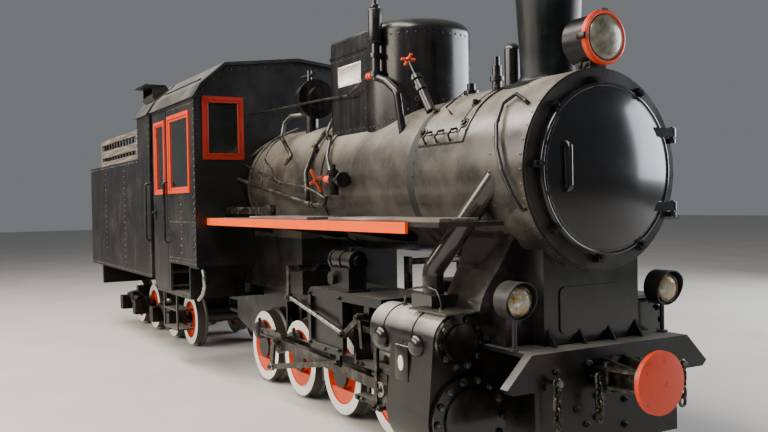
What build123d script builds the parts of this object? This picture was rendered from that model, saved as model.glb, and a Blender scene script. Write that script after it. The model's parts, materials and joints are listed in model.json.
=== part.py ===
from build123d import *
import math
import os

# Narrow-gauge steam locomotive, four coupled axles, with a tender on two bogies.
# Millimetres. While modelling, x = 0 is the leading axle, y = 0 the centre line
# and z = 0 the top of the rail; +X is forwards, +Y is the left side.
# place() moves every piece so that the origin is under the middle of the machine.

# Running gear of the engine
TREAD_RADIUS = 325
FLANGE_HEIGHT = 25
AXLE_PITCH = 800
AXLE_COUNT = 4
DRIVEN_AXLE = 2
TYRE_BACK = 340
TYRE_WIDTH = 125
FLANGE_WIDTH = 32
TREAD_TAPER = 4
RIM_DEPTH = 82
DISC_THICKNESS = 38
AXLE_RADIUS = 62
HUB_RADIUS = 112
HUB_BACK = 335
CRANK_THROW = 150
CRANK_BOSS_RADIUS = 74
CRANK_FACE = 480
CRANKPIN_RADIUS = 45
CRANK_ANGLE = {-1: 90, 1: 0}
PIN_CLEARANCE = 0.5
RUN_CLEARANCE = 6

# Rods, measured across the machine from the centre line
ROD_IN = 490
ROD_OUT = 545
ROD_EYE_RADIUS = 80
ROD_DEPTH = 72
PIN_COLLAR = 11
MAIN_ROD_OUT = 665
MAIN_ROD_THICKNESS = 50
MAIN_ROD_DEPTH = 76

# Cylinders and valve chests
CYLINDER_Y = 660
CYLINDER_Z = 420
CYLINDER_RADIUS = 265
CYLINDER_BACK = 720
CYLINDER_FRONT = 1180
CHEST_Y = 720
CHEST_Z = 860
CHEST_RADIUS = 165
CHEST_BACK = 450
COVER_THICKNESS = 30
DOME_RADIUS = 68
DOME_XS = (CHEST_BACK + 160, CYLINDER_FRONT - 160)
CROSSHEAD_X = 250
CROSSHEAD_LENGTH = 150
SLIDE_BAR_GAP = 210
SLIDE_BAR_DEPTH = 30

# Motion bracket and reversing rod
BRACKET_TOP = 1032
BRACKET_IN = 740
BRACKET_OUT = 775
RING_REAR = -720
RING_FRONT = -150
RING_BOTTOM = 578
RING_BAR = 42
REVERSING_SHAFT = (-1010, 1150)
REVERSING_ARM_END = (-1010, 929)
BELL_CRANK = (176, 900)
BELL_CRANK_END = (-72, 752)

# Main frame
FRAME_IN = 275
FRAME_OUT = 305
FRAME_TOP = 842
FRAME_BOTTOM = 250
FRAME_FRONT = 1510
FRAME_REAR = -3600
REAR_FRAME_TOP = 750
BOX_WIDTH = 200
BOX_TOP = 435
BOX_BOTTOM = 225
HORN_STAY_DEPTH = 20
HORN_TRAVEL = 20

# Front end
BEAM_FRONT = 1665
BEAM_THICKNESS = 62
BEAM_HALF_WIDTH = 750
BEAM_TOP = FRAME_TOP
BEAM_END_SLOPE = 165
BEAM_DEPTH = 197
APRON_HALF_WIDTH = 520
APRON_BOTTOM = 290
BUFFER_RADIUS = 169
SHANK_RADIUS = 52
BUFFER_FACE = 2012
COUPLER_Z = 684
COUPLER_PIN_RADIUS = 17
COUPLER_BLOCK_HALF = 40
CHAIN_WIRE = 9
CHAIN_LINK = 34
SADDLE_FRONT = 1500
SADDLE_HALF_WIDTH = 360
SADDLE_FOOT_HALF_WIDTH = 550

# Boiler
BOILER_Z = 1818
BARREL_RADIUS = 535
SMOKEBOX_RADIUS = 560
SMOKEBOX_FRONT = 1600
SMOKEBOX_BACK = 430
SMOKEBOX_WALL = 30
DOOR_RADIUS = 485
DOOR_EDGE = 30
DOOR_DISH = 72
BAND_THICKNESS = 12
BAND_WIDTH = 50
FRONT_RING_WIDTH = 330
FRONT_RING_THICKNESS = 10
FIREBOX_BACK = -2900
FIREBOX_FRONT = -1500
FIREBOX_HALF_WIDTH = 470
FIREBOX_BOTTOM = 880
HINGE_X = SMOKEBOX_FRONT + 30
HINGE_Y = DOOR_RADIUS + 30
DOOR_PIN_RADIUS = 11
LAMP_RADIUS = 106
CHIMNEY_X = 1100
CHIMNEY_BASE_RADIUS = 222
CHIMNEY_TOP_RADIUS = 262
CHIMNEY_TOP = 3180
CHIMNEY_WALL = 22
TURBO = (-1800, -210, 2585)
TURBO_RADIUS = 150
TURBO_NECK_RADIUS = 58
COLUMN = (-215, -432)
CHECK_X = -600
CASING_REAR = -1125
CASING_CENTRE = -340
CASING_HALF_WIDTH = 400
CASING_TOP = 2980

# Running boards
BOARD_TOP = 1540
BOARD_THICKNESS = 26
BOARD_EDGE = 945
STRIPE_HEIGHT = 65
STRIPE_THICKNESS = 20
STRIPE_FRONT = 1000
BOARD_FRONT = 1320

# Cab
CAB_FRONT = -2600
CAB_REAR = -4120
CAB_HALF_WIDTH = 1050
CAB_WALL = 25
SIDE_BOTTOM = 1080
SIDE_REAR = -3555
CAB_FLOOR_TOP = 790
CAB_FLOOR_THICKNESS = 40
EAVE_Z = 2670
CAB_OUTLINE = (
    (CAB_HALF_WIDTH, EAVE_Z),
    (CAB_HALF_WIDTH - 50, EAVE_Z + 97),
    (CAB_HALF_WIDTH - 290, EAVE_Z + 305),
    (0, EAVE_Z + 390),
)
ROOF_THICKNESS = 30
DOOR_BOTTOM = 800
DOOR_TOP = 2640
DOOR_HINGE_GAP = 15
DOOR_HINGE_ZS = (960, 1720, 2480)
DOOR_HINGE_X = SIDE_REAR - DOOR_HINGE_GAP / 2
DOOR_HINGE_Y = CAB_HALF_WIDTH - CAB_WALL - 13
KNUCKLE_RADIUS = 13
KNUCKLE_HEIGHT = 30
HINGE_PIN_RADIUS = 6
KNUCKLE_GAP = 0.3
WINDOW_RIM = 34
# Windows: the two limits along the wall, then bottom and top
FRONT_WINDOW = (CAB_HALF_WIDTH - 484, CAB_HALF_WIDTH - 80, EAVE_Z - 580, EAVE_Z + 15)
SIDE_WINDOW = (SIDE_REAR + 55, CAB_FRONT - 160, EAVE_Z - 886, EAVE_Z - 102)
DOOR_WINDOW = (CAB_REAR + 100, SIDE_REAR - 60, EAVE_Z - 886, EAVE_Z - 122)

# Tender
TENDER_FRONT = -4250
TENDER_REAR = -7685
HOOD_REAR = -4800
TENDER_BOTTOM = 870
TENDER_TOP = 2210
TENDER_HALF_WIDTH = CAB_HALF_WIDTH
COAL_BOARD_REAR = -6840
COAL_BOARD_TOP = TENDER_TOP + 340
DRAWBAR_PIN_X = -3750
DRAWBAR_PIN_RADIUS = 30
DRAWBAR_Z = 580
DRAWBAR_DEPTH = 90
BOGIE_CENTRES = (-5200, -6860)
BOGIE_WHEELBASE = 750
TENDER_TREAD_RADIUS = 300
BOGIE_FRAME_IN = 560
BOGIE_FRAME_OUT = 600
TENDER_BEAM_BOTTOM = 690
FILLER_X = TENDER_REAR + 380
FILLER_RADIUS = 150
FILLER_HEIGHT = 60
LID_THICKNESS = 18
LID_GAP = 0.3
LID_HINGE_X = FILLER_X - FILLER_RADIUS - 45
LID_HINGE_Z = TENDER_TOP + FILLER_HEIGHT + LID_GAP + LID_THICKNESS / 2
LID_PIN_RADIUS = 7

# Every x of the machine is moved by this so that its middle is at x = 0.
REAR_BUFFER_FACE = TENDER_REAR - (BUFFER_FACE - BEAM_FRONT)
X_SHIFT = -(BUFFER_FACE + REAR_BUFFER_FACE) / 2

BAND_XS = (SMOKEBOX_BACK - BAND_WIDTH, -1000, CAB_FRONT + 60)
AXLES = [-AXLE_PITCH * number for number in range(AXLE_COUNT)]
SIDES = (-1, 1)


def group(*shapes):
    """Several solids of one piece that stay separate."""
    solids = []
    for shape in shapes:
        solids.extend(shape.solids())
    return Compound(solids)


def place(name, shape):
    """Move one piece into the machine's own frame and write it."""
    export_step(Pos(X_SHIFT, 0, FLANGE_HEIGHT) * shape, f"parts/{name}.step")


def block(x0, x1, y0, y1, z0, z1):
    centre = Pos((x0 + x1) / 2, (y0 + y1) / 2, (z0 + z1) / 2)
    return centre * Box(abs(x1 - x0), abs(y1 - y0), abs(z1 - z0))


def side_block(side, x0, x1, inner, outer, z0, z1):
    return block(x0, x1, side * inner, side * outer, z0, z1)


def polygon(points):
    return make_face(Polyline(*points, close=True))


def side_plate(face, side, inner, outer):
    """Profile in x and z, extruded across the machine on one side."""
    low, high = sorted((side * inner, side * outer))
    return Pos(0, high, 0) * extrude(Plane.XZ * face, amount=high - low)


def cross_plate(face, x0, x1):
    """Profile in y and z, extruded along the machine."""
    return Pos(x0, 0, 0) * extrude(Plane.YZ * face, amount=x1 - x0)


def long_round(radius, x0, x1, y, z):
    return Pos((x0 + x1) / 2, y, z) * Rot(0, 90, 0) * Cylinder(radius, abs(x1 - x0))


def side_round(radius, side, inner, outer, x, z):
    middle = side * (inner + outer) / 2
    return Pos(x, middle, z) * Rot(90, 0, 0) * Cylinder(radius, abs(outer - inner))


def upright(radius, x, y, z0, z1):
    return Pos(x, y, (z0 + z1) / 2) * Cylinder(radius, z1 - z0)


def link(start, end, width, side, inner, outer):
    """Flat bar with round ends between two points given as x and z."""
    run = math.dist(start, end)
    angle = math.degrees(math.atan2(end[1] - start[1], end[0] - start[0]))
    middle = Pos((start[0] + end[0]) / 2, (start[1] + end[1]) / 2)
    face = middle * Rot(0, 0, angle) * SlotCenterToCenter(run, width)
    return side_plate(face, side, inner, outer)


def pipe(radius, points, bend):
    """Round pipe along straight runs joined by arcs."""
    path = FilletPolyline(*points, radius=bend)
    return sweep(Plane(origin=path @ 0, z_dir=path % 0) * Circle(radius), path=path)


def dished_round(radius, back, edge, crown, z):
    """Disc along x whose front face is domed from its edge to its crown."""
    flat = radius * 0.06
    sides = Polyline((crown, flat), (crown, 0), (back, 0), (back, radius), (edge, radius))
    middle = (edge + (crown - edge) * 0.75, radius / 2)
    dome = ThreePointArc((edge, radius), middle, (crown, flat))
    return Pos(0, 0, z) * revolve(make_face((sides + dome).edges()), axis=Axis.X)


def crankpin(axle_x, side):
    """Centre of a crankpin as x and z."""
    angle = math.radians(CRANK_ANGLE[side])
    return (axle_x + CRANK_THROW * math.cos(angle), TREAD_RADIUS + CRANK_THROW * math.sin(angle))


def wheel_disc(side, tread_radius, hub_radius, face_out):
    """One wheel: flange, tread, rim, dished disc and hub, turned about its axle."""
    tyre_out = TYRE_BACK + TYRE_WIDTH
    rim = tread_radius - RIM_DEPTH
    disc_in = (TYRE_BACK + tyre_out) / 2 - DISC_THICKNESS / 2
    flange = tread_radius + FLANGE_HEIGHT
    points = (
        (HUB_BACK, 0),
        (HUB_BACK, hub_radius),
        (disc_in - 14, hub_radius + 8),
        (disc_in, rim - 12),
        (TYRE_BACK, rim),
        (TYRE_BACK, flange - 8),
        (TYRE_BACK + 8, flange),
        (TYRE_BACK + FLANGE_WIDTH * 0.6, flange - 4),
        (TYRE_BACK + FLANGE_WIDTH, tread_radius),
        (tyre_out, tread_radius - TREAD_TAPER),
        (tyre_out, rim),
        (disc_in + DISC_THICKNESS, rim - 12),
        (disc_in + DISC_THICKNESS - 14, hub_radius + 8),
        (face_out, hub_radius),
        (face_out, 0),
    )
    section = polygon([(radius, side * across) for across, radius in points])
    return revolve(section, axis=Axis.Y)


def counterweight(side, angle):
    """Crescent inside the rim, opposite the crank."""
    rim = TREAD_RADIUS - RIM_DEPTH
    inner = TYRE_BACK + TYRE_WIDTH / 2
    outer = TYRE_BACK + TYRE_WIDTH - 10
    cut = Pos(rim * 0.5, 0) * Rectangle(rim * 2, rim * 3)
    face = Circle(rim + 2) - Pos(-rim * 0.02, 0) * cut
    turned = Rot(0, 0, angle) * face
    return side_plate(turned, side, inner, outer)


def engine_wheelset(number):
    axle_x = AXLES[number]
    solid = Rot(90, 0, 0) * Cylinder(AXLE_RADIUS, 2 * (HUB_BACK + 20))
    for side in SIDES:
        angle = CRANK_ANGLE[side]
        pin_x = CRANK_THROW * math.cos(math.radians(angle))
        pin_z = CRANK_THROW * math.sin(math.radians(angle))
        solid += wheel_disc(side, TREAD_RADIUS, HUB_RADIUS, CRANK_FACE)
        solid += counterweight(side, angle)
        boss_in = TYRE_BACK + TYRE_WIDTH / 2
        solid += link((0, 0), (pin_x, pin_z), 2 * CRANK_BOSS_RADIUS, side, boss_in, CRANK_FACE)
        pin_end = ROD_OUT + PIN_CLEARANCE
        solid += side_round(CRANKPIN_RADIUS + 20, side, boss_in, ROD_IN - PIN_CLEARANCE, pin_x, pin_z)
        solid += side_round(CRANKPIN_RADIUS, side, boss_in, pin_end, pin_x, pin_z)
        if number != DRIVEN_AXLE:
            solid += side_round(CRANKPIN_RADIUS + 16, side, pin_end, pin_end + PIN_COLLAR, pin_x, pin_z)
    return Pos(axle_x, 0, TREAD_RADIUS) * solid


def coupling_rod(side):
    """Fluted rod over the crankpins of all four axles."""
    pins = [crankpin(axle_x, side) for axle_x in AXLES]
    rod = link(pins[0], pins[-1], ROD_DEPTH, side, ROD_IN, ROD_OUT)
    flute_depth = 9
    for front, back in zip(pins, pins[1:]):
        ends = ((front[0] - 130, front[1]), (back[0] + 130, back[1]))
        rod -= link(ends[0], ends[1], ROD_DEPTH - 32, side, ROD_OUT - flute_depth, ROD_OUT + 1)
    for pin in pins:
        rod += side_round(ROD_EYE_RADIUS, side, ROD_IN, ROD_OUT, *pin)
    for pin in pins:
        bore = CRANKPIN_RADIUS + PIN_CLEARANCE
        rod -= side_round(bore, side, ROD_IN - 1, ROD_OUT + 1, *pin)
    return rod


def crosshead_x(side):
    """Where the fixed rod length puts the crosshead for this crank."""
    straight = crankpin(AXLES[DRIVEN_AXLE], -1)
    length = math.dist(straight, (CROSSHEAD_X, CYLINDER_Z))
    pin = crankpin(AXLES[DRIVEN_AXLE], side)
    return pin[0] + math.sqrt(length ** 2 - (pin[1] - CYLINDER_Z) ** 2)


def main_rod(side):
    """Main rod with the outer end of the driving crankpin."""
    inner = MAIN_ROD_OUT - MAIN_ROD_THICKNESS
    big = crankpin(AXLES[DRIVEN_AXLE], side)
    small = (crosshead_x(side), CYLINDER_Z)
    rod = link(big, small, MAIN_ROD_DEPTH, side, inner, MAIN_ROD_OUT)
    rod += side_round(92, side, inner, MAIN_ROD_OUT, *big)
    rod += side_round(58, side, inner, MAIN_ROD_OUT, *small)
    pin_end = ROD_OUT + PIN_CLEARANCE + RUN_CLEARANCE
    rod += side_round(CRANKPIN_RADIUS, side, pin_end, MAIN_ROD_OUT + 30, *big)
    return rod


def crosshead(side):
    """Block between the slide bars, with its pin and the piston rod."""
    x = crosshead_x(side)
    half = CROSSHEAD_LENGTH / 2
    rod_in = MAIN_ROD_OUT - MAIN_ROD_THICKNESS
    slipper = SLIDE_BAR_GAP / 2
    block_in = rod_in - 30
    block_out = MAIN_ROD_OUT + 30
    solid = side_block(side, x - half, x + half, block_in, block_out, CYLINDER_Z - slipper, CYLINDER_Z + slipper)
    jaw = side_block(side, x - half - 1, x + half * 0.45, rod_in, MAIN_ROD_OUT,
                     CYLINDER_Z - slipper + 35, CYLINDER_Z + slipper - 35)
    solid -= jaw
    solid -= main_rod(side)
    solid += long_round(32, x + half - 1, CYLINDER_BACK - COVER_THICKNESS - 45, side * CYLINDER_Y, CYLINDER_Z)
    return solid


def make_wheels_and_rods():
    for number in range(AXLE_COUNT):
        place(f"wheelset_{number + 1}", engine_wheelset(number))
    place("coupling_rod_right", coupling_rod(-1))
    place("coupling_rod_left", coupling_rod(1))
    place("main_rods", group(main_rod(-1), main_rod(1)))
    place("crossheads", group(crosshead(-1), crosshead(1)))


def frame_profile():
    """Side outline of one frame plate with its axlebox slots."""
    rear_step = AXLES[-1] - 420
    outline = polygon((
        (FRAME_FRONT, FRAME_BOTTOM + 130),
        (FRAME_FRONT, FRAME_TOP),
        (rear_step, FRAME_TOP),
        (rear_step, REAR_FRAME_TOP),
        (FRAME_REAR, REAR_FRAME_TOP),
        (FRAME_REAR, FRAME_BOTTOM + 200),
        (rear_step, FRAME_BOTTOM),
        (FRAME_FRONT - 400, FRAME_BOTTOM),
    ))
    for axle_x in AXLES:
        slot = Rectangle(BOX_WIDTH, BOX_TOP + HORN_TRAVEL)
        outline -= Pos(axle_x, (BOX_TOP + HORN_TRAVEL) / 2) * slot
    for front, back in zip(AXLES, AXLES[1:]):
        opening = Pos((front + back) / 2, 640) * SlotCenterToCenter(240, 190)
        outline -= opening
    return outline


def main_frame():
    """Plate frame: two plates, stretchers, horn stays and the drawbar fork."""
    frame = None
    outline = frame_profile()
    for side in SIDES:
        plate = side_plate(outline, side, FRAME_IN, FRAME_OUT)
        for axle_x in AXLES:
            half = BOX_WIDTH / 2 + 40
            low = BOX_BOTTOM - HORN_STAY_DEPTH
            plate += side_block(side, axle_x - half, axle_x + half, FRAME_IN, FRAME_OUT, low, BOX_BOTTOM)
            for end in (-1, 1):
                leg = axle_x + end * (half - 20)
                plate += side_block(side, leg - 20, leg + 20, FRAME_IN, FRAME_OUT, low, FRAME_BOTTOM + 1)
        frame = plate if frame is None else frame + plate
    stretchers = (
        # x at the rear, x at the front, bottom, top
        (1440, 1480, 420, FRAME_TOP),
        (700, 760, 340, 800),
        (-430, -370, 520, 800),
        (-1230, -1170, 520, 800),
        (-2030, -1970, 520, 800),
        (-2900, -2820, 400, REAR_FRAME_TOP),
    )
    for rear, front, low, high in stretchers:
        frame += block(rear, front, -FRAME_IN, FRAME_IN, low, high)
    frame += drawbar_fork()
    return frame


def drawbar_fork():
    """Drag box at the rear with the pin that the tender's drawbar turns on."""
    gap = DRAWBAR_DEPTH / 2 + RUN_CLEARANCE
    plate = 34
    rear = DRAWBAR_PIN_X - 90
    fork = block(FRAME_REAR, FRAME_REAR + 60, -FRAME_IN, FRAME_IN, DRAWBAR_Z - gap - plate, REAR_FRAME_TOP)
    for low in (DRAWBAR_Z - gap - plate, DRAWBAR_Z + gap):
        fork += block(rear, FRAME_REAR, -FRAME_OUT, FRAME_OUT, low, low + plate)
    fork += upright(DRAWBAR_PIN_RADIUS, DRAWBAR_PIN_X, 0, DRAWBAR_Z - gap - 1, DRAWBAR_Z + gap + 1)
    return fork


def axleboxes():
    boxes = []
    for axle_x in AXLES:
        for side in SIDES:
            box = side_block(side, axle_x - BOX_WIDTH / 2, axle_x + BOX_WIDTH / 2,
                             FRAME_IN - 20, FRAME_OUT + 20, BOX_BOTTOM, BOX_TOP)
            bore = AXLE_RADIUS + PIN_CLEARANCE
            box -= side_round(bore, side, FRAME_IN - 21, FRAME_OUT + 21, axle_x, TREAD_RADIUS)
            boxes.append(box)
    return group(*boxes)


def leaf_springs():
    """Underhung springs: a stepped pack of leaves, its buckle and two hangers."""
    springs = []
    top = BOX_BOTTOM - HORN_STAY_DEPTH
    for axle_x in AXLES:
        for side in SIDES:
            pack = polygon((
                (axle_x - 300, top - 30),
                (axle_x + 300, top - 30),
                (axle_x + 300, top - 42),
                (axle_x + 110, top - 96),
                (axle_x - 110, top - 96),
                (axle_x - 300, top - 42),
            ))
            spring = side_plate(pack, side, FRAME_IN - 10, FRAME_OUT + 10)
            spring += side_block(side, axle_x - 40, axle_x + 40, FRAME_IN - 14, FRAME_OUT + 14, top - 104, top)
            for end in (-1, 1):
                x = axle_x + end * 275
                spring += upright(13, x, side * (FRAME_IN + FRAME_OUT) / 2, top - 36, FRAME_BOTTOM)
            springs.append(spring)
    return group(*springs)


def brake_gear():
    """Hangers with shoes behind each wheel, joined by cross beams."""
    wheel_middle = TYRE_BACK + TYRE_WIDTH / 2
    hanger_top = FRAME_TOP - 70
    beams = []
    for axle_x in AXLES[:-1]:
        shoe_face = TREAD_RADIUS + FLANGE_HEIGHT + RUN_CLEARANCE
        ring = Circle(shoe_face + 34) - Circle(shoe_face)
        wedge = Pos(-shoe_face, 0) * Rectangle(170, 260)
        shoe = Pos(axle_x, TREAD_RADIUS) * (ring & wedge)
        beam_x = axle_x - shoe_face - 26
        piece = block(beam_x - 14, beam_x + 14, -wheel_middle - 40, wheel_middle + 40,
                      TREAD_RADIUS - 130, TREAD_RADIUS - 90)
        for side in SIDES:
            piece += side_plate(shoe, side, wheel_middle - 45, wheel_middle + 45)
            piece += side_block(side, beam_x - 14, beam_x + 14, wheel_middle - 14, wheel_middle + 14,
                                TREAD_RADIUS - 130, hanger_top)
            piece += side_block(side, beam_x - 14, beam_x + 14, FRAME_OUT, wheel_middle + 14,
                                hanger_top - 28, hanger_top)
        beams.append(piece)
    return group(*beams)


def make_frame():
    place("frame", main_frame())
    place("axleboxes", axleboxes())
    place("leaf_springs", leaf_springs())
    place("brake_gear", brake_gear())


def buffer_beam():
    """Front beam with sloped ends, the apron below it and the platform behind it."""
    top_corner = BEAM_HALF_WIDTH - BEAM_END_SLOPE
    bottom = BEAM_TOP - BEAM_DEPTH
    heel = BEAM_TOP - BEAM_END_SLOPE
    face = polygon((
        (-top_corner, BEAM_TOP),
        (top_corner, BEAM_TOP),
        (BEAM_HALF_WIDTH, heel),
        (BEAM_HALF_WIDTH - 35, bottom),
        (-BEAM_HALF_WIDTH + 35, bottom),
        (-BEAM_HALF_WIDTH, heel),
    ))
    back = BEAM_FRONT - BEAM_THICKNESS
    beam = cross_plate(face, back, BEAM_FRONT)
    beam += block(back, BEAM_FRONT - 25, -APRON_HALF_WIDTH, APRON_HALF_WIDTH, APRON_BOTTOM, bottom + 1)
    beam += block(FRAME_FRONT, back + 1, -top_corner, top_corner, BEAM_TOP - 24, BEAM_TOP)
    for side in SIDES:
        beam += side_block(side, CYLINDER_FRONT + 60, FRAME_FRONT + 1, FRAME_OUT, top_corner, BEAM_TOP - 24, BEAM_TOP)
        rib = polygon(((FRAME_FRONT, APRON_BOTTOM + 120), (FRAME_FRONT, bottom), (back + 1, bottom), (back + 1, APRON_BOTTOM)))
        beam += side_plate(rib, side, FRAME_IN, FRAME_OUT)
    return beam


def front_coupler():
    """Central buffer on a forked shank, with its yoke and coupling pins."""
    shank_back = BEAM_FRONT
    head_back = BUFFER_FACE - 46
    coupler = long_round(SHANK_RADIUS, shank_back, head_back, 0, COUPLER_Z)
    coupler += long_round(96, shank_back, shank_back + 24, 0, COUPLER_Z)
    coupler += dished_round(BUFFER_RADIUS, head_back, BUFFER_FACE - 12, BUFFER_FACE, COUPLER_Z)
    for side in SIDES:
        cheek = polygon((
            (shank_back, COUPLER_Z - 95),
            (shank_back, COUPLER_Z + 95),
            (head_back, COUPLER_Z + 46),
            (head_back, COUPLER_Z - 46),
        ))
        coupler += side_plate(cheek, side, 62, 84)
        for height in (-50, 50):
            bar = polygon((
                (shank_back, side * 84),
                (shank_back, side * 150),
                (shank_back + 90, side * 150),
                (head_back, side * 100),
                (head_back, side * 84),
            ))
            coupler += Pos(0, 0, COUPLER_Z + height - 9) * extrude(bar, amount=18)
        coupler += upright(18, shank_back + 60, side * 120, COUPLER_Z - 84, COUPLER_Z + 84)
    pin_x = (shank_back + head_back) / 2
    coupler += block(pin_x - 60, pin_x + 60, -84, 84, COUPLER_Z - COUPLER_BLOCK_HALF,
                     COUPLER_Z + COUPLER_BLOCK_HALF)
    coupler -= upright(COUPLER_PIN_RADIUS, pin_x, 0, COUPLER_Z - 120, COUPLER_Z + 120)
    return coupler


def link_ring(x, y, z, turned):
    """One oval chain link standing on its narrow end."""
    width = 1.24 * CHAIN_LINK
    outline = Plane.XZ * Rot(0, 0, 90) * SlotCenterToCenter(2 * CHAIN_LINK - width, width)
    path = outline.face().outer_wire()
    ring = sweep(Plane(origin=path @ 0, z_dir=path % 0) * Circle(CHAIN_WIRE), path=path)
    return Pos(x, y, z) * Rot(0, 0, 90 * turned) * ring


def chain(x, y, top, count):
    """Links hanging one from the other below an eye bolt in the beam."""
    eye = long_round(CHAIN_WIRE + 2, BEAM_FRONT, x + CHAIN_WIRE + 14, y, top)
    eye += long_round(CHAIN_WIRE + 12, x + CHAIN_WIRE + 10, x + CHAIN_WIRE + 18, y, top)
    pieces = [eye]
    step = 2 * CHAIN_LINK - 2 * CHAIN_WIRE - KNUCKLE_GAP
    height = top + CHAIN_WIRE + 2 + KNUCKLE_GAP - CHAIN_LINK + CHAIN_WIRE
    for number in range(count):
        pieces.append(link_ring(x, y, height - number * (step - 0.6), number % 2 == 0))
    return pieces


def coupling_chains():
    """Safety chains on both sides of the coupler."""
    pieces = []
    for y in (-470, -175, 470):
        pieces += chain(BEAM_FRONT + 60, y, BEAM_TOP - 150, 5)
    return group(*pieces)


def boiler_round(radius, x0, x1):
    return long_round(radius, x0, x1, 0, BOILER_Z)


def boiler():
    """Barrel and firebox under one jacket, with the band that meets the smokebox."""
    shell = boiler_outside()
    firebox = block(FIREBOX_BACK, FIREBOX_FRONT, -FIREBOX_HALF_WIDTH, FIREBOX_HALF_WIDTH, FIREBOX_BOTTOM, BOILER_Z)
    shell += firebox
    ashpan = polygon((
        (FIREBOX_BACK + 120, FIREBOX_BOTTOM + 1),
        (FIREBOX_FRONT - 40, FIREBOX_BOTTOM + 1),
        (FIREBOX_FRONT - 90, 560),
        (FIREBOX_BACK + 820, 560),
    ))
    shell += side_plate(ashpan, 1, -200, 200) - block(-2080, -1920, -300, 300, 400, 860)
    return shell


def boiler_outside():
    """Outer shape of the barrel jacket, used to seat what stands on it."""
    shape = boiler_round(BARREL_RADIUS, FIREBOX_BACK, SMOKEBOX_BACK)
    for x in BAND_XS:
        shape += boiler_round(BARREL_RADIUS + BAND_THICKNESS, x, x + BAND_WIDTH)
    return shape


def smokebox_outside():
    """Outer shape of the smokebox with its front ring."""
    ring_back = SMOKEBOX_FRONT - FRONT_RING_WIDTH
    shape = boiler_round(SMOKEBOX_RADIUS, SMOKEBOX_BACK, SMOKEBOX_FRONT)
    return shape + boiler_round(SMOKEBOX_RADIUS + FRONT_RING_THICKNESS, ring_back, SMOKEBOX_FRONT - 10)


def smokebox():
    """Smokebox drum with its front ring and the opening behind the door."""
    drum = smokebox_outside()
    cavity = boiler_round(SMOKEBOX_RADIUS - SMOKEBOX_WALL, SMOKEBOX_BACK + 60, SMOKEBOX_FRONT - 24)
    mouth = boiler_round(DOOR_RADIUS - 40, SMOKEBOX_FRONT - 30, SMOKEBOX_FRONT + 1)
    drum -= cavity + mouth
    drum -= upright(CHIMNEY_BASE_RADIUS - CHIMNEY_WALL, CHIMNEY_X, 0, BOILER_Z, BOILER_Z + SMOKEBOX_RADIUS + 60)
    for z in (BOILER_Z + 215, BOILER_Z - 215):
        drum += door_hinge_lug(z)
    return drum


def door_hinge_lug(z):
    """Fixed lug that carries the smokebox door's hinge pin."""
    lug = block(SMOKEBOX_FRONT - 12, HINGE_X, HINGE_Y - 22, HINGE_Y + 22, z - 62, z - 32)
    lug += upright(22, HINGE_X, HINGE_Y, z - 62, z - 32)
    lug += upright(DOOR_PIN_RADIUS, HINGE_X, HINGE_Y, z - 40, z + 34)
    return lug


def smokebox_door():
    """Dished round door with two strap hinges, a handle and dogs round its rim."""
    face = SMOKEBOX_FRONT + 2
    edge = face + DOOR_EDGE
    door = dished_round(DOOR_RADIUS, face, edge, edge + DOOR_DISH, BOILER_Z)
    for z in (BOILER_Z + 215, BOILER_Z - 215):
        strap = block(edge - 10, edge + 20, 120, HINGE_Y + 4, z - 26, z + 26)
        door += strap
        door += upright(24, HINGE_X, HINGE_Y, z - 26, z + 26)
        door -= upright(DOOR_PIN_RADIUS + PIN_CLEARANCE, HINGE_X, HINGE_Y, z - 80, z + 60)
    for angle in (60, 100, 137, 177, 220, 262, 300):
        dog = block(face, edge + 12, DOOR_RADIUS - 28, DOOR_RADIUS + 38, -19, 19)
        dog += long_round(13, edge + 11, edge + 34, DOOR_RADIUS + 8, 0)
        door += Pos(0, 0, BOILER_Z) * Rot(angle, 0, 0) * dog
    grip_y = -DOOR_RADIUS * 0.7
    grip = [(edge + 20, grip_y, BOILER_Z + 140), (edge + 75, grip_y, BOILER_Z + 140),
            (edge + 75, grip_y, BOILER_Z - 120), (edge + 20, grip_y, BOILER_Z - 120)]
    door += pipe(13, grip, 30)
    return door


def chimney():
    """Tall funnel that widens upwards, on a flared base ring."""
    base_z = BOILER_Z + SMOKEBOX_RADIUS - 60
    outer = Pos(CHIMNEY_X, 0, base_z) * Cone(CHIMNEY_BASE_RADIUS, CHIMNEY_TOP_RADIUS, CHIMNEY_TOP - base_z,
                                            align=(Align.CENTER, Align.CENTER, Align.MIN))
    outer += upright(CHIMNEY_TOP_RADIUS + 16, CHIMNEY_X, 0, CHIMNEY_TOP - 60, CHIMNEY_TOP)
    outer += upright(CHIMNEY_BASE_RADIUS + 14, CHIMNEY_X, 0, base_z, BOILER_Z + SMOKEBOX_RADIUS + 24)
    bore = upright(CHIMNEY_BASE_RADIUS - CHIMNEY_WALL, CHIMNEY_X, 0, base_z - 1, CHIMNEY_TOP + 1)
    return outer - bore - smokebox_outside()


def dome_casing():
    """Sand dome and steam dome under one casing on the barrel."""
    low = BOILER_Z + 200
    front = extrude(Pos(CASING_CENTRE, 0, low) * Circle(CASING_HALF_WIDTH), amount=CASING_TOP - low)
    front = fillet(front.edges().group_by(Axis.Z)[-1], 90)
    lid_top = CASING_TOP - 20
    rear = block(CASING_REAR, CASING_CENTRE, -CASING_HALF_WIDTH + 14, CASING_HALF_WIDTH - 14, low, lid_top)
    rear = fillet(rear.edges().filter_by(Axis.Z).group_by(Axis.X)[0], 110)
    rear = fillet(rear.edges().group_by(Axis.Z)[-1].group_by(Axis.X)[0], 40)
    lid_lip = block(CASING_REAR - 8, CASING_CENTRE, -CASING_HALF_WIDTH + 6, CASING_HALF_WIDTH - 6, lid_top - 150, lid_top - 132)
    lid_lip = fillet(lid_lip.edges().filter_by(Axis.Z).group_by(Axis.X)[0], 110)
    casing = front + rear + lid_lip
    casing -= boiler_outside()
    return casing.solids().sort_by(Axis.Z)[-1]


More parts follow.
